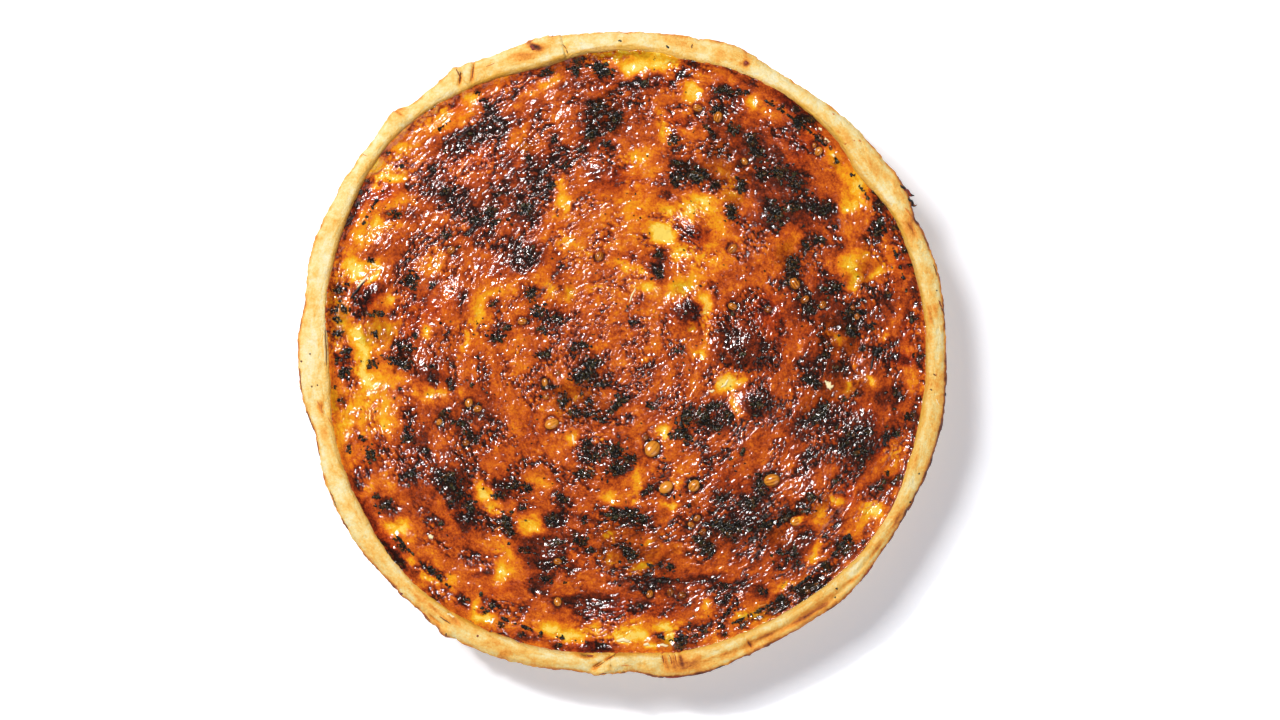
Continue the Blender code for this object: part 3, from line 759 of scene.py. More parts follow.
bpy.context.view_layer.update()
on_the_rim = np.concatenate(
    [slivers(pastry, RIM_SLIVERS, CRUMB_THICK), slivers(pastry, BURNT_SHARDS, SHARD_THICK, SHARD_OVERHANG)]
)
rim_tones = np.array([line[5] for line in (*RIM_SLIVERS, *BURNT_SHARDS)]) / 4.0
crumbs = closed_threads("crumbs", on_the_rim, rim_tones)
crumb_material, tree, shader = new_material("crumbs_painted_shade_and_highlight")
crumb_tone = attribute(tree, "tone")
CRUMB_COLOURS = (
    (0.00, (16, 11, 10)),
    (0.25, (112, 56, 24)),
    (0.50, (138, 44, 20)),
    (0.75, (222, 132, 46)),
    (1.00, (252, 232, 180)),
)
tree.links.new(colour_scale(tree, crumb_tone, CRUMB_COLOURS), shader.inputs["Base Color"])
shader.inputs["Roughness"].default_value = 0.55
crumbs.data.materials.append(crumb_material)
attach(crumbs, "root")
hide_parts("pastry_case")


# The custard and its skin
# Egg, cream and cheese set in the case. The oven has wrinkled its top into an oily skin, orange
# to nearly black where it puffed up, and left it yellow in the hollows and along the pastry.
# Painted shade darkens the gaps between the skin's beads and a ring round each seed.
CUSTARD_CELLS = 304
GAP = 0.4
UNDER_THE_LIP = 0.3
DOME = 0.3
DOME_FALL = 0.5
# The skin creeps up the pastry, more in some places
CREEPS_UP = 1.4
CREEP_WANDERS = 0.5
BLISTERS = (
    (24, 40, 5, 1.3), (22, 14, 5, 1.2), (43, 1, 9, 1.5), (46, -16, 5, 1.3), (83, -28, 8, 1.7),
    (-4, 60, 7, 1.2), (-55, 16, 9, 1.4), (-30, 27, 8, 1.3), (-3, -37, 7, 1.3), (66, -48, 9, 1.6),
    (-66, -7, 6, 0.9), (-84, 21, 5, 1.3), (84, -10, 6, 1.2), (60, 70, 9, 1.1), (-81, 54, 6, 1),
    (-60, -42, 10, 1), (0, -88, 12, 0.8), (-50, 72, 8, -1), (15, 37, 6, -1.1), (-88, -5, 6, -1),
    (37, -12, 5, -1.1), (28, 12, 3, -0.9), (-28, -62, 7, -0.9), (-13, -83, 6, -1), (20, -76, 8, -0.9),
    (54, -58, 6, -1.2),
)
SMALL_LUMPS = 230
LUMPS_WITHIN = 96.0
LUMP_SPREAD = (3.4, 7.4)
LUMP_SWELL = (-0.32, 0.42)


def small_lumps():
    """Low swells over whatever lies just under the skin, spread by a seeded draw."""
    draw = np.random.RandomState(11)
    radius = LUMPS_WITHIN * np.sqrt(draw.random_sample(SMALL_LUMPS))
    turn = 2.0 * math.pi * draw.random_sample(SMALL_LUMPS)
    spread = draw.uniform(*LUMP_SPREAD, SMALL_LUMPS)
    height = draw.uniform(*LUMP_SWELL, SMALL_LUMPS)
    return zip(radius * np.cos(turn), radius * np.sin(turn), spread, height)


def custard_top(x, y):
    """Height of the baked skin: a faint dome with blisters and hollows on it."""
    away = np.hypot(x, y) / CUSTARD_RADIUS
    total = CUSTARD_HEIGHT + DOME - DOME_FALL * away**6
    swells = np.zeros_like(away)
    for middle_x, middle_y, spread, height in (*BLISTERS, *small_lumps()):
        swells += height * np.exp(-((x - middle_x) ** 2 + (y - middle_y) ** 2) / spread**2)
    return total + swells * (1.0 - ramp(away, 0.93, 1.0))


# Tones of the skin, lighter below zero and darker above: (x, y, half length, half width, turn, amount)
SKIN_TONES = (
    (-68, 77, 26, 7, 42, -0.15), (-83, 63, 5, 4, 0, -0.22), (-76, 59.5, 4, 1.5, 10, -0.3),
    (-61, 82, 3, 2.5, 0, -0.2), (-52, 87, 3.4, 2.2, 20, -0.28), (-73, 69.5, 4, 2, 20, -0.2),
    (-45, 84, 2.4, 2.4, 0, 0.2), (-55, 78, 4, 3, 0, -0.12), (-50, 74, 13, 4, 25, 0.42),
    (-42, 76, 4, 3, 0, 0.16), (-50, 64, 12, 6, 0, -0.05), (-80, 54.5, 5, 2.6, 20, 0.1),
    (-84, 57, 5, 1.2, 40, -0.3), (-89, 50, 5, 3, 0, 0.12), (-93, 43, 3, 6, 0, 0.14),
    (-85, 42, 5, 5, 0, -0.24), (-83, 44, 2, 1.5, 0, -0.2), (-88, 38, 3, 3, 0, -0.2),
    (-78, 44, 4, 3, 0, -0.15), (-63, 55, 6, 6, 0, 0.16), (-55, 51, 5, 6, 0, 0.18), (-45, 55, 8, 6, 0, 0.08),
    (-57, 44, 4, 3, 0, -0.12), (-72, 47, 3, 3, 0, 0.15), (-39, 62, 3, 7, 0, 0.14),
    (-25, 92, 5, 2, 30, -0.22), (-31, 87, 8, 1.6, 30, -0.16), (3, 96.5, 4.5, 2.6, 0, -0.36),
    (12, 97.5, 6, 2, 0, -0.3), (23, 89, 3.6, 3.6, 0, -0.38), (14, 76, 2.2, 4.5, 10, -0.32),
    (13, 82, 2.4, 5, 0, -0.14), (5, 67.5, 6.5, 3, 0, -0.18), (-22, 59, 2.4, 3.4, 0, -0.26),
    (-20, 51, 2.4, 5.5, 10, -0.28), (15, 48.5, 2.6, 2.6, 0, -0.26), (25, 50, 6.5, 4.2, 20, -0.36),
    (13.5, 41, 4.5, 3.2, -30, -0.42), (15, 40, 2, 2, 0, -0.22), (33, 44, 4, 4, 0, -0.16),
    (-21, 38, 5, 3, 0, -0.2), (0, 48, 17, 11, 0, -0.1), (5, 62, 9, 5, 0, -0.1), (-10, 77, 9, 9, 0, 0.1),
    (-10, 73, 5, 4, 0, 0.08), (-3, 59, 5.5, 5, 0, 0.17), (-30, 65, 5, 4, 0, 0.22),
    (-23, 68, 3, 4.5, 0, 0.14), (-28, 57, 5, 5, 0, 0.18), (-32, 47, 5, 4, 0, 0.2), (5, 90, 5, 3, 0, 0.12),
    (20.5, 94.5, 2, 1.8, 0, 0.26), (14, 92, 4, 1.8, 0, 0.12), (21, 84.5, 3, 1, 0, 0.14),
    (17, 79, 4, 3, -30, 0.13), (21, 64, 6, 4, 0, 0.16), (12, 66, 3, 2, 0, 0.08), (12, 47, 3, 3, 0, 0.1),
    (24, 40, 5, 4.6, 0, 0.32), (38, 72, 8, 12, 15, 0.12), (45, 90, 4, 2.4, -30, 0.1),
    (43.5, 84.5, 2, 2.4, 0, -0.26), (55, 86, 4.5, 2, -35, 0.28), (70, 68, 2, 4.5, 30, -0.28),
    (80, 58, 5.5, 5, 0, -0.24), (76.5, 50, 3, 2.8, 0, -0.32), (74, 62, 4, 3, 0, -0.12),
    (86, 43, 2.4, 5, -10, 0.34), (52, 60, 10, 9, 0, 0.18), (51, 46, 5, 5, 0, 0.26),
    (68, 49, 5, 3.4, 0, 0.24), (60, 48, 5, 4, 0, 0.12), (44, 70, 4, 5, 30, 0.2), (-91, 29, 4.5, 4, 0, -0.3),
    (-89.5, 27, 2.4, 2, 0, -0.2), (-84.5, 25.5, 4.5, 0.9, 58, -0.4), (-84, 30.5, 2, 1.5, 0, -0.3),
    (-86, 19, 5.5, 2.6, 38, 0.26), (-89, 13.5, 2.2, 1.6, 0, 0.3), (-90, 7, 3, 3.4, -40, -0.3),
    (-87.5, 0, 2.2, 5, 0, -0.32), (-87, -8, 2.8, 5, 20, -0.36), (-80, 8, 5, 3, 0, -0.2),
    (-78, -9, 8, 3, 0, -0.2), (-83, -17, 8, 5, 0, -0.18), (-80, -24, 5, 3, 10, -0.22),
    (-94, -26, 3, 4, 0, -0.14), (-64, -13, 8, 2, 5, -0.24), (-77, 18.5, 3.4, 2, 0, -0.25),
    (-64, 31, 4, 4, 0, -0.18), (-66, 7, 1.8, 2.4, 0, -0.34), (-66, 2, 2, 3, 0, -0.12),
    (-48, 15, 3, 6.5, -10, -0.22), (-43, 21, 5, 1.6, 10, -0.2), (-52.5, 5, 2, 4, -10, -0.26),
    (-55, 15, 3.4, 8, -12, 0.26), (-66, -7, 5, 5, 0, 0.12), (-46, -18, 6, 7, 0, 0.13),
    (-68, -27, 6, 5, 0, 0.14), (-60, -29, 4.5, 3, 0, -0.08), (-31, 31, 5.5, 6, 0, 0.24),
    (-22, 27, 3, 4, 0, 0.16), (-30, 22, 4, 4, 0, 0.12), (1, 30, 4.5, 2, -10, -0.28),
    (8, 27.5, 2.6, 1, -35, -0.3), (-8, 22.5, 5, 1.6, 0, -0.26), (-24, 22, 2, 2, 0, -0.2),
    (-18, 20, 2.4, 3.4, 0, -0.2), (9, 22.5, 3, 2, 0, -0.3), (19, 22, 5.5, 3.6, 20, -0.3),
    (18.5, 34, 4, 2.2, 30, -0.34), (27, 34, 6, 4, 0, -0.16), (28, 13, 1.8, 7, -5, -0.42),
    (27, 18, 2.4, 1.6, 30, -0.1), (23, 9, 1.5, 1.5, 0, -0.3), (26, 0, 2, 1.8, 0, -0.4),
    (34.5, -9.5, 3, 3.6, -20, -0.5), (6.5, -2, 1.8, 1.4, 0, -0.26), (13, -26.5, 2.4, 2.4, 0, -0.42),
    (-17, -29, 2.2, 3, 20, -0.34), (-8, -28, 2.5, 1.4, 0, -0.22), (-14, -14, 3.4, 2, 0, -0.18),
    (-17, 33, 6, 3, 0, -0.14), (22, 14.5, 4.6, 4.4, 0, 0.36), (12, 29, 4, 5, 0, 0.3),
    (6, 18, 2.4, 2.4, 0, 0.18), (10, -4, 5, 2, 0, 0.14), (42, 3, 9, 7, 0, 0.22), (42, -3, 5, 3, 0, 0.14),
    (45.5, -17, 4.6, 3.8, 0, 0.52), (40, -9, 2.4, 2.2, 0, -0.24), (38, -18, 1.6, 4.4, 8, -0.32),
    (48, 15, 5, 5, 0, 0.13), (66, 14, 10, 12, 0, 0.13), (76, 11, 5, 6, 0, 0.2), (76, 31, 3.4, 3, 0, -0.28),
    (82, 34, 3.4, 2, 0, -0.26), (88, 29, 3.2, 2.6, 0, -0.26), (78, 24, 2.2, 4.4, 0, -0.26),
    (84, 26, 4, 1.4, 40, -0.2), (71.5, 6.5, 2.4, 4, 30, -0.24), (88, 6, 1.3, 1.7, 0, -0.28),
    (94, -2, 5, 1.5, -5, 0.38), (66, -3, 5, 4, 0, 0.18), (72.5, -4.5, 2.8, 2.4, 0, 0.36),
    (78, -4, 1.1, 1.6, 0, -0.28), (76, -11, 2.2, 2.8, 0, -0.26), (83, -9, 3.2, 1.1, -30, -0.28),
    (90, -14.5, 4, 3, -10, 0.46), (66.5, -20, 4.6, 2.2, 40, 0.4), (80, -29, 7, 7, 0, 0.48),
    (56, -26, 7, 6, 0, 0.1), (62, -35, 4, 3.4, 0, 0.2), (54, -13, 5.5, 6, 0, -0.06),
    (93, -34, 3, 4, 20, -0.18), (-86, -45, 2.2, 3.4, 0, -0.2), (-80, -43, 4.5, 4.5, 0, -0.16),
    (-58, -43, 5, 4, 0, 0.32), (-68, -47, 6, 5, 0, 0.14), (-62, -36, 9, 5, 0, 0.12),
    (-91, -43, 2, 4, 0, 0.14), (-88, -52, 2, 3.5, 30, 0.2), (-78, -67, 14, 1.8, -50, 0.12),
    (-76, -58.5, 4, 3, 0, -0.34), (-82, -56, 4.5, 1.1, -50, -0.14), (-71, -70, 2.2, 2, 0, -0.3),
    (-65, -76, 6, 1.3, -45, -0.3), (-63, -65, 8, 4, -20, -0.06), (-58, -77, 2.8, 2.2, 0, -0.22),
    (-52, -56, 3.4, 3, 0, 0.34), (-49, -45, 1.7, 3.2, 15, -0.34), (-46, -48, 2.6, 2.1, 0, -0.38),
    (-43, -52.5, 2.6, 2.4, 0, -0.32), (-41, -46, 4, 3.4, 0, 0.26), (-44, -63, 4, 2.6, 0, -0.18),
    (-40, -66, 3, 2, -30, -0.2), (-43, -68.5, 3, 1, 0, 0.22), (-48, -74.5, 3, 1, 5, 0.26),
    (-41, -73.5, 2, 2.4, -40, -0.38), (-50, -86, 1.7, 3.2, 0, -0.3), (-47, -89, 3.2, 1.7, 0, -0.34),
    (-29, -43, 6, 1.7, -15, -0.2), (-31, -58, 4.2, 3, 0, -0.36), (-23.5, -56, 3.4, 2.8, 0, 0.36),
    (-4.5, -48.5, 2.7, 2.7, 0, -0.28), (5, -43.5, 1.5, 6, 5, -0.26), (4, -49.5, 1.4, 1.2, 0, -0.26),
    (15.5, -51.2, 3.2, 1.3, -25, -0.34), (15, -43, 3.2, 2, 0, -0.14), (22, -46, 3, 1.2, 10, 0.24),
    (-4.3, -61, 2.3, 2, 0, -0.3), (-5, -69.5, 1.6, 2.6, 0, -0.26), (8.5, -63.5, 1.7, 1.1, 0, -0.3),
    (-28, -64, 9, 2.6, 0, 0.3), (-27, -70, 7, 4, 0, 0.22), (-28, -77, 4.4, 2, 0, 0.28),
    (-2, -76.5, 4, 1.1, 0, 0.3), (14, -76.8, 8.5, 1.7, -2, 0.48), (25, -75.5, 6.5, 1.5, 2, 0.38),
    (7, -79.5, 5, 1, 8, 0.34), (20, -82, 1.7, 3, 0, 0.28), (-12, -83, 8.5, 2, 3, 0.42),
    (6, -72, 3.4, 1.5, 20, -0.22), (3, -74.5, 2.2, 1.5, 0, -0.2), (-12, -67, 6, 4, 0, -0.05),
    (28, -84.5, 2.2, 2.8, 0, -0.24), (-24, -93, 4.4, 2.6, 0, -0.34), (-17, -95.5, 4.4, 2.6, 0, -0.38),
    (-9, -93.5, 2.8, 2.6, 0, -0.32), (-1, -94.5, 4, 3, 0, -0.32), (5, -94, 3.4, 3, 0, -0.34),
    (14, -92.5, 3.2, 1.9, 0, -0.38), (16, -96, 2.6, 2.5, 0, -0.3), (1, -97, 2.8, 1, 0, -0.36),
    (9, -98.2, 1.8, 1, 0, -0.4), (-10, -98.6, 5.4, 1.8, 0, 0.5), (-32, -95, 4.5, 2, -15, 0.26),
    (42, -53, 6, 8, 0, 0.2), (46.5, -44.5, 2.4, 3.6, 0, 0.3), (58.5, -56.5, 2.4, 2.1, 0, -0.42),
    (71, -49.5, 3.2, 2, -20, -0.3), (66.5, -53, 2.4, 4, 10, -0.2), (84, -52, 4.2, 2.6, 10, -0.28),
    (65, -67, 1.6, 5, -22, -0.26), (63, -60, 3.4, 2.6, 0, 0.18), (54, -78.5, 3.6, 1.1, 15, -0.24),
    (45, -88, 3.6, 1.6, 20, -0.24), (40, -88.5, 2.2, 1.6, 0, -0.28), (47, -80, 3.4, 2, 0, 0.28),
    (40, -78, 3.4, 1.5, 0, 0.26), (88, -43, 3.2, 2.2, 30, 0.24), (50, -63, 7, 3, 10, 0.06),
    (78, -40, 2, 5, 0, 0.12), (35, -45, 6, 5, 0, 0.14), (-86, -4, 9, 17, 0, -0.15),
    (-97, 10, 4, 18, 0, -0.2), (-90, -22, 6, 9, 20, -0.12), (-71, 81, 16, 3, 45, -0.1),
    (-93, 34, 3, 7, -10, -0.08), (-74, -62, 22, 4, -50, -0.1), (-30, -92, 22, 3.4, -8, -0.12),
    (84, 48, 4, 14, 30, -0.1), (70, -66, 20, 4, 45, -0.08), (8, 97, 12, 3, 0, -0.06),
    (89, -36, 4, 9, 15, -0.1), (47, -92, 20, 3, 20, -0.12), (20, 72, 10, 10, 0, -0.06),
    (-70, 72, 6, 5, 0, 0.12), (-82, 38, 14, 6, 0, 0.14), (-65, 58, 5, 5, 0, 0.12), (-54, 86, 5, 3, 30, 0.1),
    (-31, 88, 9, 5, 20, 0.15), (-10, 62, 5, 4, 0, 0.12), (-67, -2, 4, 4, 0, 0.1), (-94, -5, 4, 8, 0, 0.14),
    (-83, -42, 7, 9, 0, 0.12), (-75, -62, 14, 5, -50, 0.1), (88, 52, 5, 8, 20, 0.12),
    (93, 22, 5, 14, 0, 0.14), (0, -86, 26, 4, 0, 0.06), (-54, 12, 4, 8, -10, -0.16),
    (-78, 51, 5, 3, 15, -0.14), (10, 45, 7, 10, 0, -0.08), (26, 30, 7, 10, 0, -0.12),
    (37, 60, 6, 8, 0, -0.08), (55, 35, 8, 8, 0, -0.06), (78, 28, 5, 5, 0, -0.1), (-39, -70, 6, 7, 0, -0.14),
    (-20, -3, 9, 10, 0, -0.06), (5, 25, 9, 8, 0, -0.08), (-30, 22, 8, 6, 0, -0.08),
    (-74, 72, 5, 4, 0, 0.08), (-90, 50, 4, 6, 0, 0.12), (-18, 92, 6, 4, 0, 0.1), (5, 80, 5, 8, 0, 0.08),
    (-10, 60, 4, 4, 0, 0.06), (88, 55, 5, 6, 0, 0.08), (75, 34, 6, 4, 0, 0.12), (38, 6, 4, 4, 0, 0.08),
    (-92, -27, 4, 4, 0, 0.1), (-85, -55, 6, 3, -50, 0.14), (-70, -72, 5, 4, 0, 0.1),
    (60, -43, 5, 4, 0, 0.1), (60, -65, 4, 5, 0, 0.12), (88, -45, 5, 6, 0, 0.1), (30, -36, 8, 5, 0, 0.08),
    (80, -22, 5, 4, 0, 0.1), (-10, -85, 8, 4, 0, 0.08), (22, -83, 5, 3, 0, 0.08), (-28, -90, 5, 3, 0, 0.08),
    (-73, 52, 5, 3, 10, -0.1), (-98, -15, 2.5, 5, 0, -0.12), (-30, 25, 8, 6, 0, -0.06),
    (-15, -15, 9, 8, 0, -0.06), (-8, 38, 6, 4, 0, -0.06), (26, 17, 3, 4, 0, -0.12),
    (-40, -50, 5, 4, 0, -0.06), (-3, -60, 5, 4, 0, -0.1), (10, -70, 5, 4, 0, -0.08),
    (37, 57, 4, 4, 0, -0.1), (-33, 72, 4, 4, 0, -0.14), (22, 82, 3, 3, 0, -0.1), (18, 98, 4, 2, 0, -0.1),
    (-95, -32, 3, 7, 20, -0.1), (60, -56, 3, 3, 0, -0.1), (40, 4, 9, 9, 0, 0.06),
    (-40, -45, 12, 8, 0, 0.04), (-73, 72, 6, 4, 40, 0.12), (-95, 31, 4, 4, 0, 0.16),
    (-80, 7, 4, 3, 0, 0.12), (-86, -9, 5, 7, 0, 0.12), (-88, -46, 5, 5, 0, 0.12), (-82, -57, 5, 4, 0, 0.14),
    (-71, -70, 6, 4, -45, 0.12), (-52, -88, 5, 4, 0, 0.14), (5, 95, 8, 4, 0, 0.12),
    (-38, 33, 6, 4, 30, 0.1), (-58, 85, 6, 4, 30, 0.1), (-10, 46, 4, 4, 0, 0.1), (76, -70, 4, 4, 0, 0.12),
    (96, -22, 4, 6, 0, 0.12), (8, 70, 6, 5, 0, 0.08), (0, 101.6, 17, 2, 0, -0.26),
    (-91, 48, 4, 6, 0, -0.14), (88, 52, 4, 6, 20, -0.08), (-57, 10, 4, 6, 0, -0.1),
    (-27, 22, 7, 6, 0, -0.08), (-18, -20, 6, 6, 0, -0.06), (38, 57, 4, 4, 0, -0.12),
    (-80, 17, 5, 3, 0, -0.08), (85, -55, 6, 3, 50, -0.1), (-5, 100, 6, 3, 0, -0.14),
)
# Deep red places, and olive ones where herb juice has run, in the same form
SKIN_REDS = (
    (-80, 54.5, 5, 2.6, 20, 0.9), (-86, 19, 5.5, 2.8, 38, 0.7), (-69, 15, 9, 9, 0, 0.5),
    (-90, 48, 4, 6, 0, 0.5), (-3, 59, 6, 5, 0, 0.5), (24, 40, 5, 4.6, 0, 0.6), (22, 14, 5, 4, 0, 0.6),
    (48, 15, 6, 5, 0, 0.7), (94, -2, 5, 2, 0, 0.8), (-10, -99, 6, 2.4, 0, 0.9),
    (-84, -58, 14, 2.6, -55, 0.6), (0, -86, 16, 4, 0, 0.5), (60, 72, 10, 6, 0, 0.4),
    (55, 86, 4.5, 2, -35, 0.7), (86, -28, 2, 9, 15, 0.5), (-42, -80, 6, 5, 0, 0.5),
    (17, 79, 4, 3, -30, 0.5), (15, 92, 6, 2.4, 0, 0.4), (-50, 65, 12, 6, 0, 0.4), (96, 8, 3, 10, 0, 0.4),
    (76, -44, 2, 8, 10, 0.4), (-55, 82, 4, 3, 20, 0.5), (45, 8, 8, 6, 0, 0.4), (-95, -3, 3, 4, 0, 0.7),
)
SKIN_OLIVES = (
    (-33, 70.5, 4, 3, 0, 0.8), (32, 67, 3, 4.5, 0, 0.9), (21, 64, 5, 3, 0, 0.6), (19, 22, 6, 4, 20, 0.6),
    (23, 9, 2, 2, 0, 0.7), (-18, 20, 3, 4, 0, 0.5), (-14, -15, 6, 5, 0, 0.6), (-4.3, -61, 2.6, 2.2, 0, 0.8),
    (-5, -69, 2.5, 4, 0, 0.7), (5, -73, 5, 3, 20, 0.7), (78, 26, 4, 6, 0, 0.5), (71.5, 6.5, 3, 5, 30, 0.6),
    (65, -50, 6, 5, 0, 0.6), (68, 78, 4, 3, -30, 0.6), (72, 66, 3, 5, 30, 0.5), (-80, 9, 7, 4, 0, 0.5),
    (-97, 10, 3, 12, 0, 0.7), (-75, -3, 5, 3, 0, 0.6), (25, -50, 10, 5, 0, 0.4), (48, -87, 8, 3, 20, 0.7),
    (62, -78, 8, 3, 20, 0.5), (75, -66, 4, 4, 0, 0.5), (15, -98, 8, 2.4, 0, 0.6), (-14, -40, 4, 3, 0, 0.6),
    (-85, 13, 5, 2, 0, 0.5), (54, 34, 3, 4, 0, 0.5), (38, 52, 4, 5, 0, 0.5), (55, 0, 5, 5, 0, 0.3),
    (-97, -16, 3, 5, 0, 0.5), (-8, 101, 10, 2, 0, 0.6), (6, 3, 5, 4, 0, 0.3), (72, -73, 5, 4, 0, 0.4),
    (-6, 82, 8, 9, 0, 0.7), (80, -10, 6, 5, 0, 0.6), (62, -18, 10, 4, 30, 0.5), (72, 2, 6, 8, 20, 0.5),
    (-84, 6, 8, 5, 0, 0.5), (-30, -40, 12, 6, 0, 0.3), (30, -65, 12, 6, 0, 0.35),
    (-22, 96, 6, 2.4, 10, 0.6), (85, 27, 8, 7, 0, 0.4), (-97, 20, 3, 9, 0, 0.6), (90, -36, 4, 8, 15, 0.4),
    (-92, -24, 4, 8, 20, 0.4), (-60, 46, 10, 8, 0, 0.25), (40, 76, 10, 10, 0, 0.35),
    (-35, -22, 22, 14, 0, 0.3), (0, -60, 24, 9, 0, 0.35), (68, -12, 9, 7, 0, 0.4), (55, 34, 9, 9, 0, 0.4),
    (82, 36, 6, 6, 0, 0.4), (36, 60, 7, 8, 0, 0.4), (-10, 0, 14, 12, 0, 0.3), (55, -60, 12, 8, 0, 0.3),
    (-27, 22, 9, 7, 0, 0.35), (-15, -17, 11, 9, 0, 0.35), (-54, -34, 8, 8, 0, 0.3),
    (-45, -62, 10, 8, 0, 0.35), (5, -67, 13, 8, 0, 0.35), (52, -62, 6, 5, 0, 0.35), (72, 8, 9, 8, 0, 0.35),
    (30, 62, 10, 6, 0, 0.35), (-57, 12, 6, 7, 0, 0.2), (0, 101.6, 17, 2.2, 0, 0.7),
)
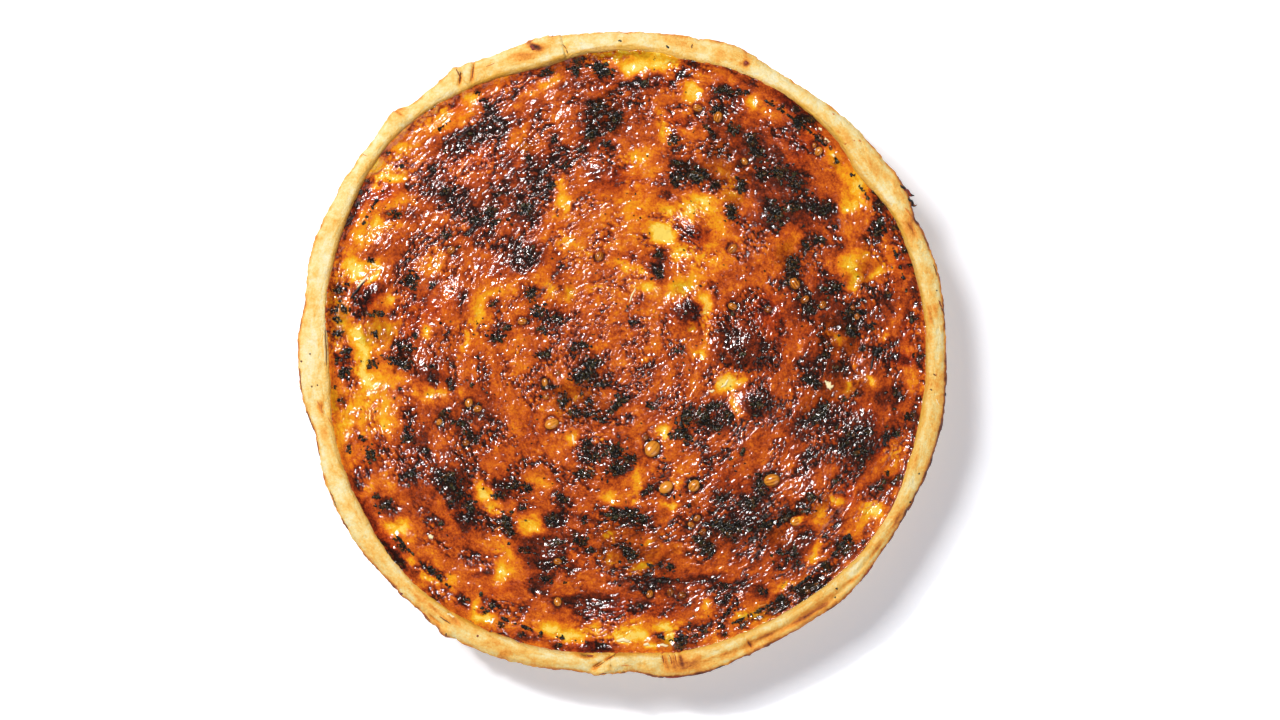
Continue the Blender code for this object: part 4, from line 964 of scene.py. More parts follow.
# Chopped herbs, most of them toasted black: (x, y, half length, half width, turn)
HERBS = (
    (-49, 88.3, 1.2, 1.2, 0), (-65, 83, 2.6, 0.9, 28), (-79.5, 68, 1.3, 1.1, 0), (-87, 58.4, 1, 1, 0),
    (-89, 54.5, 2, 1, 40), (-77, 47.4, 1.9, 1.2, -10), (-93, 46.7, 1, 0.8, 0), (-42.3, 54, 1.1, 1.2, 0),
    (-45, 48.4, 3.4, 1.4, 20), (-50, 45.4, 2.2, 1.6, 0), (-44, 44, 1.6, 1.2, 40), (-46, 84, 0.9, 0.9, 0),
    (-60, 40, 2, 1.2, 0), (-53, 40.6, 1, 0.8, 0), (-60, 55, 2, 1.6, 0), (-64, 62, 1.4, 1, 0),
    (-26, 95.5, 2.2, 1.2, 5), (-15.5, 99.2, 3.2, 1.5, 5), (-8.5, 97, 2.6, 2, -30), (-6, 94.8, 2.8, 1.4, 10),
    (-16, 95.4, 1.6, 1.4, 0), (-2, 80, 2.6, 1.5, -20), (-3.5, 75.6, 0.8, 1.2, 0), (-8.5, 83.4, 3, 1.4, -10),
    (-10.5, 74, 3, 2, 30), (-14, 69.6, 1.3, 1, 0), (-6.5, 70.8, 1.8, 0.9, 0), (-23, 72.2, 1.4, 1.1, 0),
    (-20, 63, 1.2, 1.2, 0), (-32, 66.4, 1.1, 1, 0), (-33, 49, 3, 2.4, 20), (-24, 57, 1.8, 1.6, 40),
    (7.2, 91.4, 1.5, 1.3, 0), (17.6, 72, 1.6, 1.8, 0), (28.5, 76, 3.4, 0.9, -48), (31.2, 82, 1.6, 2.8, -30),
    (34, 89, 3.6, 1.2, -8), (25, 60.6, 5, 2.2, 0), (17.5, 58.4, 2.2, 2, 0), (18, 64.5, 1.8, 0.9, 0),
    (31, 57, 2, 1.2, 20), (36.5, 48, 1.6, 3, 10), (37, 76, 1.6, 2, 0), (40.5, 88, 2.4, 1, -15),
    (50, 84.6, 1.1, 1, 0), (54, 83.4, 1.5, 1.3, 0), (58.4, 82.8, 1.6, 1.3, 0), (60, 79, 3, 1.5, 0),
    (64, 78.9, 1.6, 0.8, -10), (59, 77.2, 1.6, 1.4, 0), (67, 72.4, 3.4, 1.2, -40), (71.8, 65, 1.1, 0.9, 0),
    (77.5, 60.7, 1.1, 0.9, -30), (83, 57.6, 1.2, 1, 0), (84.7, 54.7, 1.4, 0.9, -30),
    (87, 50.6, 1.6, 0.8, 0), (91.6, 42.7, 1.5, 1.1, 30), (86, 42, 1.4, 3, -10), (43.6, 72, 1.8, 3.2, 20),
    (45, 67.6, 2.6, 1.4, 0), (53, 61, 3.4, 3, 0), (40, 57, 1.4, 2.6, 0), (52, 47.4, 2.6, 3.2, -20),
    (57.5, 49.6, 2.4, 1.6, 0), (64, 50, 1.6, 1.2, 0), (68.6, 49, 2.4, 1.8, 0), (61, 43, 0.9, 0.9, 0),
    (71.5, 43, 0.9, 0.8, 0), (58.5, 57, 2, 2, 0), (47, 61, 2.2, 1.6, 0), (66, 38.6, 2, 1.2, 0),
    (62, 36.6, 2, 1.4, 0), (-85, 31.6, 1.6, 1, 0), (-93, 24, 1, 0.8, 0), (-96, 21.4, 2, 1.1, 0),
    (-90.6, 18.8, 1.1, 0.6, 45), (-94.4, 15.6, 2, 1.1, -50), (-98, 14.6, 1.4, 1.1, 0),
    (-97, 12, 1.8, 0.9, 0), (-96.4, 7, 1.8, 1.1, 0), (-84, 7, 1.6, 1.1, 0), (-83, 13.4, 3.6, 1.1, 0),
    (-71.5, 25, 2.8, 2.6, 0), (-64, 23.4, 0.9, 1.5, 0), (-76, 3, 1.6, 0.8, -40), (-72, 2, 2.4, 1.4, 0),
    (-85, -3, 1.8, 1.5, 20), (-78, -2, 3, 1.5, -15), (-73.6, -4, 1.8, 1.5, 0), (-70, 6.5, 0.9, 1, 0),
    (-93, 1, 2, 1, 15), (-97, -2, 1, 1, 0), (-94, -2, 0.8, 1, 0), (-94, -6, 3, 1.4, 5),
    (-98, -11, 0.9, 0.7, 0), (-95, -16, 1.6, 0.7, -45), (-75.5, -12, 0.9, 0.8, 0),
    (-88, -28, 1.5, 1.1, -20), (-92.6, -32, 0.9, 1.7, 0), (-85, -34, 2, 2.4, 0), (-73, -28, 2.4, 1.8, 30),
    (-55, -23, 2.2, 1.5, 0), (-52, -26.6, 1.6, 1.2, -40), (-50, -29, 1.6, 1.4, 0),
    (-58.4, -9.4, 1.1, 1.4, 0), (-58, -11.8, 0.9, 0.7, 0), (-51, -10.4, 1, 0.7, 0),
    (-48.6, -1, 0.9, 0.7, 0), (-65, -4.4, 1.2, 0.9, 0), (-44, 17, 1.6, 0.9, 30), (-43, 5, 2.6, 1.6, 0),
    (-39, 9, 1.8, 1.4, 0), (-66.6, -33, 1.2, 0.8, 0), (-60, -20, 1.8, 1, 0), (-28, 14, 2.8, 2.2, 0),
    (-22, 11.8, 2.6, 1.1, -5), (-27, 8, 1.4, 1.5, 0), (-31, 20.6, 1.8, 2.2, 0), (-28, 0, 2.8, 0.7, 5),
    (-25.4, 0, 0.9, 0.7, 0), (-17, 1.6, 1.2, 1.2, 0), (-13.6, 3, 2.2, 1.3, 0), (-9, -2.8, 2, 1, 0),
    (-14, -7.4, 3.8, 2.2, 10), (-11, -3.6, 1.4, 2, 0), (-7, -10, 2.4, 1.2, 10), (-26.4, -11.4, 1.4, 1, 0),
    (-23, -10.8, 1.6, 0.8, 0), (-20, -15.6, 1.8, 2.2, -20), (-16, -20, 1.5, 1.8, 0),
    (-14, -13.1, 0.8, 0.7, 0), (-11, -16, 1.4, 0.9, 0), (-11.6, -20, 3, 0.8, 0), (-8, -22, 1.3, 0.9, 0),
    (-3, -18, 3.8, 1.3, 50), (0.6, -16, 1.6, 1.2, 0), (8.4, -16.4, 1.1, 1.6, 0), (21, -22, 2.4, 3.2, 0),
    (18.6, -27, 2.4, 2.2, 0), (22.4, -29, 1.6, 1.2, 0), (27.6, -22, 3, 2.6, 0), (31.4, -25, 1.6, 1.4, 0),
    (35.4, -20, 1.2, 2, 0), (30, -17.6, 3.4, 1.1, 10), (-12.4, -31, 3.4, 0.9, 60),
    (-10, -34.4, 1.8, 1.8, 0), (-3, -33, 3.6, 2.6, 0), (3, -35.4, 2.4, 1.8, 0), (-2, -39, 3.2, 2, 0),
    (3, 11, 1.4, 1, 0), (17.4, 1.2, 1, 0.8, 0), (12.4, 27, 1.8, 1.6, 0), (12, 33, 1.4, 1.6, 0),
    (57, 30, 2.6, 3, 0), (56, 24.4, 2, 1.4, 0), (63, 15, 1.3, 1.5, 0), (59, 18.6, 0.8, 0.7, 0),
    (67.4, 21.8, 1.4, 1, 0), (72.4, 22.6, 2, 1.8, 0), (67, 16, 1.4, 1.2, 0), (76, 14, 2.4, 1.8, 0),
    (80.4, 14, 1.3, 1.2, 0), (77, 8, 2.2, 2.6, 20), (84, 9.4, 1.6, 1.6, 0), (83.4, 21.6, 2.2, 1.2, -25),
    (89, 20.4, 1, 0.7, 0), (98, 12, 1.7, 1.3, 0), (95.2, 35, 1.4, 1.3, 0), (97, 30, 1, 0.8, 0),
    (98, 26.6, 1.2, 1.1, 0), (98.4, 22.4, 0.8, 0.7, 0), (69, -0.4, 0.9, 0.9, 0), (81, 2, 1.2, 0.9, 0),
    (87, 1.2, 1, 0.9, 0), (85.2, -0.8, 0.8, 1.3, 0), (101, -0.6, 1.1, 0.8, 0), (62.6, -9, 2, 1.3, -10),
    (66, -10, 1.8, 0.8, -10), (72.5, -4.5, 0.8, 0.9, 0), (78.6, -13.4, 1, 0.8, 0),
    (74.6, -15.4, 1.4, 0.9, -20), (92.2, -12.6, 1, 1.3, 0), (68.6, -18, 1.3, 1.9, -40),
    (65.6, -21.2, 2.6, 1.5, 25), (97, -21.6, 1.9, 1.5, -20), (92, -27.4, 2.2, 1.1, 15),
    (88.2, -28, 0.8, 3.4, -10), (77, -27, 1.8, 1.6, 0), (83, -26, 1.6, 1, 30), (80, -33, 2.4, 1.6, 0),
    (74.6, -31, 1.6, 1.2, 0), (45.4, -17, 2.2, 1.6, 0), (40.6, -33, 1, 1.6, -30),
    (-72, -40.6, 2.4, 1.3, 10), (-58.6, -42, 3, 2.2, -20), (-55, -47, 1.5, 1.5, 0),
    (-58, -50, 1.8, 0.9, 20), (-83, -48, 1.2, 0.9, 0), (-81.6, -52, 1.1, 1.4, -20),
    (-79, -50.4, 0.9, 2, -10), (-77, -62, 1, 0.8, 0), (-74.4, -65.2, 2.6, 1.2, -38),
    (-79, -68, 1.7, 1.1, -20), (-75, -70.2, 1.2, 0.6, -20), (-64.4, -73.4, 2.4, 1.4, -25),
    (-62, -76, 1.2, 1, 0), (-65, -78.6, 0.6, 0.6, 0), (-62, -82, 1.2, 0.8, 0), (-61.5, -57, 1.1, 1.1, 0),
    (-54, -83, 1.1, 1.1, 0), (-52, -51.6, 2.2, 1.8, 0), (-42, -47.6, 2.2, 1.6, 0),
    (-39.6, -56.6, 1.8, 2.6, 0), (-38, -60, 1.4, 1.2, 0), (-46.6, -87.2, 1.5, 0.9, 0),
    (-44, -85, 1.2, 0.8, 20), (-48, -81.6, 0.7, 0.9, 0), (-41, -91.4, 1.8, 1.4, 0),
    (-32, -45, 2.2, 1.3, -45), (-36, -44, 1.6, 1.6, 0), (-21, -48.6, 1.7, 1.7, 0), (-34, -52, 1.8, 1, 0),
    (-24, -56, 2.4, 1.9, 0), (-13, -40.6, 2.8, 1.6, 0), (-13, -56, 0.8, 1.4, 0), (-3, -54.6, 3, 2, 0),
    (3, -53.6, 2.6, 2.2, 0), (6.6, -56.6, 1.2, 1.4, 0), (9, -45, 1.2, 1.1, 0), (7, -47, 1.4, 1, 0),
    (15, -48, 1.8, 0.7, 0), (25, -44, 0.9, 1.4, 0), (22, -51, 0.9, 0.8, 0), (33, -49, 1.1, 1.2, 0),
    (-14, -63, 2.4, 1.8, 0), (-11, -66, 1.2, 1.1, 0), (-21.4, -63.4, 2.6, 0.9, 0),
    (-34, -66, 1.8, 1.1, -45), (-20, -68.6, 1.1, 1, 0), (-26, -76, 2.2, 1.2, 0), (0.8, -65.6, 1.4, 1.4, 0),
    (3.4, -68, 2.2, 1.7, 0), (9, -71.6, 1, 0.8, 0), (16.4, -72, 1.5, 1, 0), (12.6, -71, 1, 0.9, 0),
    (12, -76.6, 1.6, 0.7, 0), (19, -76.4, 1.4, 0.8, 0), (5.6, -84.6, 1.1, 1, 0), (28, -65, 1.9, 1.8, 0),
    (25.6, -62.6, 2.2, 1.6, 0), (32, -57.6, 3.4, 1.7, -5), (35.4, -60.4, 1.8, 2.2, 0),
    (29.6, -67.4, 1, 0.8, 0), (34.4, -78, 1.5, 1, -20), (35.4, -82, 1.2, 0.8, 0), (35.6, -87, 1.6, 1, 20),
    (33, -91, 0.9, 0.8, 0), (34.4, -95, 1.4, 1.1, 0), (27.6, -93.2, 0.9, 0.7, 0), (22.6, -91, 0.8, 0.6, 0),
    (-28, -95.2, 1.1, 0.9, 0), (-21.3, -98, 1.3, 1.2, 0), (12.4, -95.5, 1.5, 0.7, 0),
    (19.4, -98.4, 2.6, 1.7, 0), (19.6, -95.4, 1, 1, 0), (25, -97, 0.7, 1.6, -15), (-34, -94.6, 1.8, 1.4, 0),
    (38.6, -58.4, 1.6, 1.8, 0), (43, -50.4, 2, 2.4, 0), (46, -43, 1.4, 2, 0), (47, -46.4, 1.8, 1.1, 0),
    (49, -57.8, 4.2, 1.5, 14), (55.4, -54.8, 3.2, 1, 35), (62, -53, 2.4, 0.8, 5), (64, -48.4, 1.8, 1.1, 0),
    (72.4, -63.6, 0.9, 0.8, 0), (76.4, -63.2, 1.8, 2.2, 0), (75, -66.6, 2.4, 1.2, 20),
    (71, -67.2, 1.3, 0.9, 0), (68.4, -61.4, 0.9, 1.1, 0), (68.6, -72, 2.2, 2.4, 0), (62, -78, 1.8, 1.6, 0),
    (65.4, -77.8, 1.7, 1.1, 20), (61.4, -80.4, 2.2, 1.4, 20), (58, -79.6, 1.8, 1.3, 0),
    (55, -84.4, 1.9, 1.2, 20), (53, -82.6, 1.6, 1.2, 0), (50, -86, 2.6, 1.1, 15), (46, -88.8, 2.8, 0.6, 12),
    (40.4, -91.4, 2.2, 1.6, 20), (53.6, -66.8, 1.9, 1.2, 10), (53, -72, 0.8, 1.2, 0),
    (58, -67, 0.9, 1.9, 0), (58.6, -71, 0.8, 1.4, 0), (93, -42, 1.2, 1.4, 0), (91, -44, 0.9, 0.7, 0),
    (87.4, -46, 0.6, 0.6, 0), (47, -80, 2, 1.2, 0), (72.6, -42.4, 1.1, 1.1, 0),
)
# Where herbs lie crowded, with the share of the skin they cover: (x, y, half length, half width, turn, share)
HERB_MASSES = (
    (-27, 95, 3, 2, 0, 0.6), (-16, 99, 4, 2, 0, 0.6), (-9, 97, 4, 3, -40, 0.8), (-17, 94, 2, 2, 0, 0.35),
    (6, 91, 2.5, 2, 0, 0.4), (-42, 75, 3, 4, 20, 0.35), (-48, 73, 6, 2.5, 0, 0.2),
    (-57, 71, 3.5, 2.5, 30, 0.2), (-9, 83, 2.5, 2.5, 0, 0.25), (-2, 80, 3, 2.5, 0, 0.3),
    (-11, 73.5, 3, 4, -30, 0.4), (-8, 71, 6, 2, 0, 0.2), (-23, 71, 2, 4, 0, 0.3), (-32, 66, 2, 3, 0, 0.3),
    (-59, 55, 3, 2.5, 0, 0.4), (-42, 54, 2.5, 2.5, 0, 0.3), (-35, 49.5, 4, 2, 30, 0.6),
    (-45, 45, 8, 3, 15, 0.45), (-57, 36, 3, 2, 30, 0.35), (-61, 40, 3, 2, 0, 0.3), (-77, 47, 2, 2, 0, 0.3),
    (-93, 47, 2, 2, 0, 0.25), (-32, 32, 5, 4, 0, 0.4), (-72, 24, 3.5, 3, 30, 0.55),
    (-95, 22, 3, 2.5, 30, 0.35), (-87, 20, 5, 3, 30, 0.4), (-89, 14, 3, 2, 0, 0.35),
    (-29, 13.5, 7, 2.5, -65, 0.55), (-22, 12, 4, 1.8, 0, 0.6), (-43, 5, 2.5, 2.5, 0, 0.5),
    (-38, 9, 2.5, 2, 30, 0.35), (-57, 10, 4, 2, 20, 0.3), (-94, 0, 3, 2.5, 0, 0.65),
    (-94, -6, 2.5, 2.5, 0, 0.85), (-85, -3, 2, 2, 0, 0.3), (-64, -4, 2, 3, 0, 0.3),
    (-11, -3, 2, 4, 0, 0.45), (-13, -8, 4, 3, 0, 0.4), (-26, -12, 2, 2, 0, 0.25),
    (-2, -17, 2.5, 4.5, -30, 0.75), (-9, -22, 4, 2, 0, 0.5), (-16, -20, 3, 4, 0, 0.45),
    (37, 13, 4, 3, 0, 0.3), (38, 1, 5, 3, 0, 0.5), (42, -2, 8, 2, 0, 0.4), (22, 14, 3, 3, 0, 0.55),
    (12, 30, 2, 5, 0, 0.45), (21, -23, 3, 5, 0, 0.6), (27, -20, 5, 2.5, 0, 0.55), (30, -24, 4, 3, 0, 0.55),
    (36, -21.5, 2.5, 3, 0, 0.8), (21, -29, 3.5, 3, 0, 0.65), (45.5, -18, 4, 4.5, 0, 0.5),
    (66, -19.5, 2.5, 5, -45, 0.8), (74, -16, 2, 2, 0, 0.4), (79, -30, 7, 8, 0, 0.6),
    (91, -15, 4.5, 3, 20, 0.3), (97, -21.5, 2.5, 2.5, 0, 0.6), (91, -28, 5, 2, 30, 0.55),
    (72, -5.5, 2.5, 3, 0, 0.3), (65, -8, 4, 2.5, 20, 0.45), (68, 3, 2, 4, 0, 0.4),
    (94, -1.5, 4.5, 2, 0, 0.2), (84, 1, 5, 2, 0, 0.5), (76, 7, 3, 4, 20, 0.55), (80, 14, 3, 4, -60, 0.4),
    (85, 9, 2.5, 3, 0, 0.4), (70, 20, 5, 4, 45, 0.45), (63, 15.5, 3, 2, 0, 0.55), (58, 29, 3, 8, -25, 0.55),
    (68, 37, 3, 2, 0, 0.35), (86, 42, 3, 4, 0, 0.75), (90, 43, 3, 2, 0, 0.5), (95, 36, 2, 4, 15, 0.55),
    (98, 27, 2, 4, 0, 0.4), (36.5, 47, 2.5, 4, 0, 0.75), (53, 47, 4, 4.5, 0, 0.8), (60, 50, 8, 2.5, 0, 0.4),
    (69, 49, 3, 3, 0, 0.6), (58, 59, 3, 5, 0, 0.55), (63, 57, 4, 3, -45, 0.3), (25, 60.5, 4, 2.5, 0, 0.6),
    (45, 68, 3, 5, 0, 0.4), (39, 67, 4, 2, 0, 0.3), (67.5, 72, 4, 2.5, -40, 0.5), (60, 79, 5, 3, 0, 0.6),
    (55, 84, 6, 2, -35, 0.5), (36, 88.5, 4, 2, 0, 0.5), (30, 82, 2.5, 3.5, -20, 0.6),
    (36, 78, 3, 4, 0, 0.25), (-73, -27, 3, 4, -15, 0.65), (-85, -35, 2.5, 4, 0, 0.75),
    (-52, -25, 3, 7, 20, 0.3), (-49, -18, 3, 3, 0, 0.3), (-73, -41, 3, 3, 0, 0.4), (-64, -39, 4, 2, 0, 0.3),
    (-58, -45, 4, 3.5, -30, 0.8), (-51, -53, 3, 5, 0, 0.75), (-61, -57, 2, 2, 0, 0.3),
    (-37, -45, 7, 4, -30, 0.4), (-21, -49, 2.5, 2, 0, 0.55), (-39, -58, 3, 5, -35, 0.6),
    (-33, -67, 6, 2.5, -30, 0.25), (-23, -63, 3.5, 2, 0, 0.6), (-14, -63, 4, 3, -40, 0.55),
    (-24, -72, 5, 4, 30, 0.2), (-27, -77, 3.5, 2.5, 0, 0.5), (-9, -36, 5, 3, -40, 0.55),
    (-2, -33, 3, 3, 0, 0.75), (-6, -41, 4, 4, 0, 0.3), (-1, -55, 5, 2.5, 0, 0.9), (6, -55.5, 4, 3, 40, 0.5),
    (1, -66, 3, 4, -35, 0.65), (8, -66, 2, 2, 0, 0.45), (-3, -77, 2.5, 2, 0, 0.5),
    (15, -76, 8, 2.5, 0, 0.25), (16, -72, 3, 3, 0, 0.5), (26, -76, 4, 2, 0, 0.2), (8, -79, 4, 2, 30, 0.25),
    (20, -83, 2.5, 2.5, 0, 0.4), (-23, -83, 3, 1.5, 0, 0.3), (-11, -83, 6, 2, 20, 0.05),
    (30, -38, 3, 4, -30, 0.35), (38, -37, 3, 4, -30, 0.35), (45.5, -43.5, 3, 4, 20, 0.75),
    (28, -65, 3.5, 2.5, 30, 0.6), (33, -58.5, 6, 2.5, 0, 0.85), (39, -52, 2.5, 2.5, 0, 0.25),
    (50, -58, 8, 3, 35, 0.8), (58, -69, 3, 4, 0, 0.45), (53, -70, 3, 3, 0, 0.35), (55, -84, 3, 2, 0, 0.5),
    (62, -79, 5, 3, 30, 0.6), (69, -73, 2, 5, 0, 0.45), (75, -66, 4, 4, 0, 0.35), (62, -52, 2, 2, 0, 0.3),
    (36, -82.5, 2.5, 4.5, 20, 0.5), (34, -95, 2.5, 2.5, 0, 0.4), (42, -77, 2, 2, 0, 0.3),
    (19, -97, 3, 4, 0, 0.35), (63, -34, 3, 2.5, 0, 0.5), (12, -36, 2, 2, 0, 0.3),
    (9, -45, 2.5, 2.5, 0, 0.4), (22, -47, 2, 2, 0, 0.25), (89, -45, 3, 2, 0, 0.2),
    (-77, -66, 5, 3, 0, 0.45), (-64, -73, 4, 2, -20, 0.3), (-83, -53, 5, 2, 0, 0.3),
    (-36, -94, 4, 2, -30, 0.3), (-21, -98, 2.5, 2.5, 0, 0.35), (-13, -99.5, 5, 2, 0, 0.45),
    (-7, -99, 3, 2, 0, 0.5),
)
# Whole seeds: (x, y, millimetres across)
SEEDS = (
    (10, -32, 5.4), (-24, -23.5, 4.6), (50.2, -42.6, 5), (14.5, -45, 4.6), (24, -44.5, 4), (37, 35.5, 3.4),
    (58, 23.8, 3.8), (61.4, 18.4, 3), (67.5, 16.6, 2.6), (37, 16, 3), (66, 68.4, 3), (32, 80, 3.4),
    (-8, 33, 3), (-52, -16.5, 2.8), (-49, -18.5, 2.6), (-26.4, -9.6, 2.6), (25, -55.4, 2.4), (-34, 11, 2.8),
    (-58, 35, 2.8), (-22, -83.6, 2.8), (9, -81, 2.6), (16, -80.4, 2.6), (-62, -23, 2.2), (-53, -30, 2.2),
    (-22, -6.5, 2), (-26, -14.5, 2.2), (49, 15, 2.4), (41, 65, 2.4), (23, -57.6, 2.2), (27, -60, 2.4),
    (-22, -70, 2.6), (20, -81.4, 2.4), (58.4, -56.4, 3.6), (7.6, -28.2, 2.2), (25.2, 83, 3),
    (68.2, 71.4, 1.8), (64.6, 70.4, 1.7), (66.6, 72.6, 1.6), (70, 69.6, 1.7), (77.6, 15.6, 1.8),
    (79, 12.6, 2),
)
# Creases where the skin has drawn together: (x, y, x, y, width, depth)
CREASES = (
    (45, -61, 52, -56, 0.7, 0.9), (52, -56, 58, -53, 0.6, 0.9), (58, -53, 65, -52.5, 0.5, 0.6),
    (77, -44, 75, -52, 0.8, 0.9), (75, -52, 68, -60, 0.8, 0.9), (88, 3, 84, -5, 0.5, 0.7),
    (70, -16, 64, -22, 0.7, 0.8), (-91.5, 18, -86.5, 24, 0.5, 1), (-84, 53, -76, 56, 0.5, 0.6),
    (-35, -62.5, -18, -62.5, 0.9, 0.6), (-20, -83, -5, -83, 0.9, 0.6), (5, -78, 28, -76, 0.8, 0.6),
    (-60, 70, -42, 78, 0.9, 0.5), (1, 14, 5, 23, 0.4, -0.4), (36, 12, 33, -3, 0.8, 0.5),
    (33, -3, 41, -6, 0.8, 0.5), (80, -7, 85, -14, 0.6, -0.5), (-24, -64, -10, -88, 0.5, 0.3),
    (-70, -20, -60, -33, 0.6, 0.3), (60, 40, 66, 28, 0.6, 0.3), (20, 62, 27, 56, 0.5, 0.4),
)


def pressed_into_a_disc(cells):
    """A square grid pressed into a disc of radius 1 so that equal squares keep equal areas.

    A square ring at distance r from the centre becomes a circle of radius r, and the place
    along the ring's side becomes the angle.
    """
    u, v = np.meshgrid(np.linspace(-1, 1, cells + 1), np.linspace(-1, 1, cells + 1))
    flat = np.abs(u) > np.abs(v)
    longer = np.where(flat, u, v)
    shorter = np.where(flat, v, u)
    turn = math.pi / 4.0 * np.divide(shorter, longer, out=np.zeros_like(u), where=longer != 0.0)
    turn = np.where(flat, turn, math.pi / 2.0 - turn)
    return longer * np.cos(turn), longer * np.sin(turn)


disc_x, disc_y = pressed_into_a_disc(CUSTARD_CELLS)
skin_radius = CUSTARD_RADIUS + UNDER_THE_LIP
reach = np.hypot(disc_x, disc_y)
angle = np.degrees(np.arctan2(disc_y, disc_x))
widened = skin_radius + bulges(angle, INNER_BULGES) * reach
skin_x, skin_y = disc_x * widened, disc_y * widened
flat_skin = np.stack([skin_x, skin_y, np.zeros_like(skin_x)], axis=-1)

# Outlines of tones wander, so the ovals are read from a place that noise has moved
wander = np.stack([cloud(flat_skin, 6.0, 51), cloud(flat_skin, 6.0, 57)], axis=-1) * 1.9
wander += np.stack([noise(flat_skin, 1.9, 61), noise(flat_skin, 1.9, 63)], axis=-1) * 0.9
moved_skin = flat_skin.copy()
moved_skin[..., :2] += wander
half_moved = flat_skin + 0.5 * (moved_skin - flat_skin)

# The skin crept round the quiche as it set, so what lies in it is drawn out along the rim. The
# flow is a place read as (distance from the centre, and a circle that grows ever more slowly).
FLOW_TURN = 60.0
skin_away = np.hypot(skin_x, skin_y)
skin_turn = np.radians(angle)
flow_circle = FLOW_TURN * (1.0 - np.exp(-skin_away / FLOW_TURN))
flow = np.stack([skin_away, flow_circle * np.cos(skin_turn), flow_circle * np.sin(skin_turn)], axis=-1)
flow[..., 0] += 1.4 * noise(flat_skin, 5.0, 53)
flow[..., 1] += 0.5 * noise(flat_skin, 3.0, 55)

HERB_INK = 0.74
CROWD_INK = 0.25
CROWD_LIMIT = 0.24
FLECK_INK = 0.62
HALO_MARGIN = 1.3


def grown(ovals, times, margin, ink):
    """Ovals stretched by a factor and a margin, each with its own share of so much ink."""
    return [
        (x, y, a * times + margin, b * times + margin, turn, ink * (share[0] if share else 1.0))
        for x, y, a, b, turn, *share in ovals
    ]


herb = spots(half_moved, grown(HERBS, 1.12, 0.0, HERB_INK), 1.4)
crowd = spots(half_moved, grown(HERB_MASSES, 1.15, 0.0, CROWD_INK), 1.3)
herb = np.maximum(herb, np.minimum(crowd, CROWD_LIMIT))
halo = np.clip(spots(moved_skin, grown(HERB_MASSES, 1.7, 0.0, 0.5)), 0.0, 1.0)
halo = np.maximum(halo, np.clip(spots(moved_skin, grown(HERBS, 1.0, HALO_MARGIN, 0.6)), 0.0, 1.0))
herb_flecks = ramp(noise(flat_skin, 2.3, 67) + 0.35 * cloud(flat_skin, 17.0, 69), 0.60, 0.80)
herb_edges = 0.22 * noise(flat_skin, 1.4, 65) * ramp(herb, 0.1, 0.4)
herb = np.clip(np.maximum(herb, FLECK_INK * herb_flecks) + herb_edges, 0.0, 1.0)

PLAIN_BROWN = 0.545
LIGHTER_TIMES = 1.4
DARKER_TIMES = 1.15
DARKEST = 0.82
edge_light = ramp(reach, 0.86, 0.99)
edge_wave = cloud(flat_skin, 14.0, 71)
tones = [(*oval, amount * (LIGHTER_TIMES if amount < 0.0 else DARKER_TIMES)) for *oval, amount in SKIN_TONES]
browning_and_shade = PLAIN_BROWN + 0.11 * cloud(flat_skin, 26.0, 73) + 0.12 * cloud(flat_skin, 8.5, 77, 3)
browning_and_shade += 0.11 * cloud(flow, 3.4, 81, 3)
browning_and_shade += spots(moved_skin, tones, 1.15)
browning_and_shade += 0.27 * halo
browning_and_shade -= edge_light * (0.10 + 0.14 * edge_wave)
browning_and_shade += 0.07 * ramp(reach, 0.95, 0.985)
redness = np.clip(spots(moved_skin, SKIN_REDS) + 0.35 + 0.5 * cloud(flat_skin, 12.0, 83), 0.0, 1.0)
olive = spots(moved_skin, SKIN_OLIVES) - 0.1 + 0.3 * cloud(flat_skin, 5.0, 87) + 0.45 * halo
olive = np.clip(olive, 0.0, 1.0)

# Where the skin has drawn up into beads, and where it stayed smooth
knobbly = ramp(1.7 * cloud(flow, 7.0, 105, 2) + 0.25 * (browning_and_shade - 0.5) + 0.35 * halo, -0.2, 0.55)

# Each seed sits in a collar, a ring just outside it that is lower than the skin and painted
# darker: painted shade in the groove round the seed
collar = np.zeros_like(skin_x)
for x, y, across in SEEDS:
    outside = np.hypot(skin_x - x, skin_y - y) - 0.5 * across - 0.25
    collar = np.maximum(collar, np.exp(-((outside / 0.55) ** 2)) * min(1.0, 0.4 + 0.15 * across))
browning_and_shade = np.minimum(browning_and_shade + 0.34 * collar, DARKEST)

# Wrinkles are folds of noise that run with the flow, deeper where the skin is darker
wrinkled = np.abs(noise(flow, 2.1, 95)) - 0.28
puckers = noise(half_moved, 1.6, 97)
depth = 0.5 + 0.6 * ramp(browning_and_shade, 0.45, 0.85) + 0.4 * cloud(flat_skin, 9.0, 99, 2)
skin_relief = -0.28 * wrinkled * depth + 0.13 * puckers * knobbly + 0.15 * cloud(flat_skin, 5.0, 101)
skin_relief += 0.25 * herb * (0.6 + noise(flat_skin, 1.5, 103))
skin_relief -= 0.4 * ramp(-browning_and_shade, -0.38, -0.12) + 0.4 * collar
skin_relief -= grooves(half_moved, CREASES)
calm = 1.0 - ramp(reach, 0.965, 1.0)
skin_height = custard_top(skin_x, skin_y) + skin_relief * calm
skin_height += (CREEPS_UP + CREEP_WANDERS * cloud(flat_skin, 4.5, 107, 2)) * ramp(reach, 0.972, 1.0)
skin_points = np.stack([skin_x, skin_y, skin_height], axis=-1)


def side_ring(radius, height, share):
    """A ring under the skin's rim, in the order of its border points, following the case."""
    turn = np.radians(border_angle)
    radius = radius + share * bulges(border_angle, INNER_BULGES)
    return np.stack([radius * np.cos(turn), radius * np.sin(turn), np.full_like(turn, height)], axis=-1)


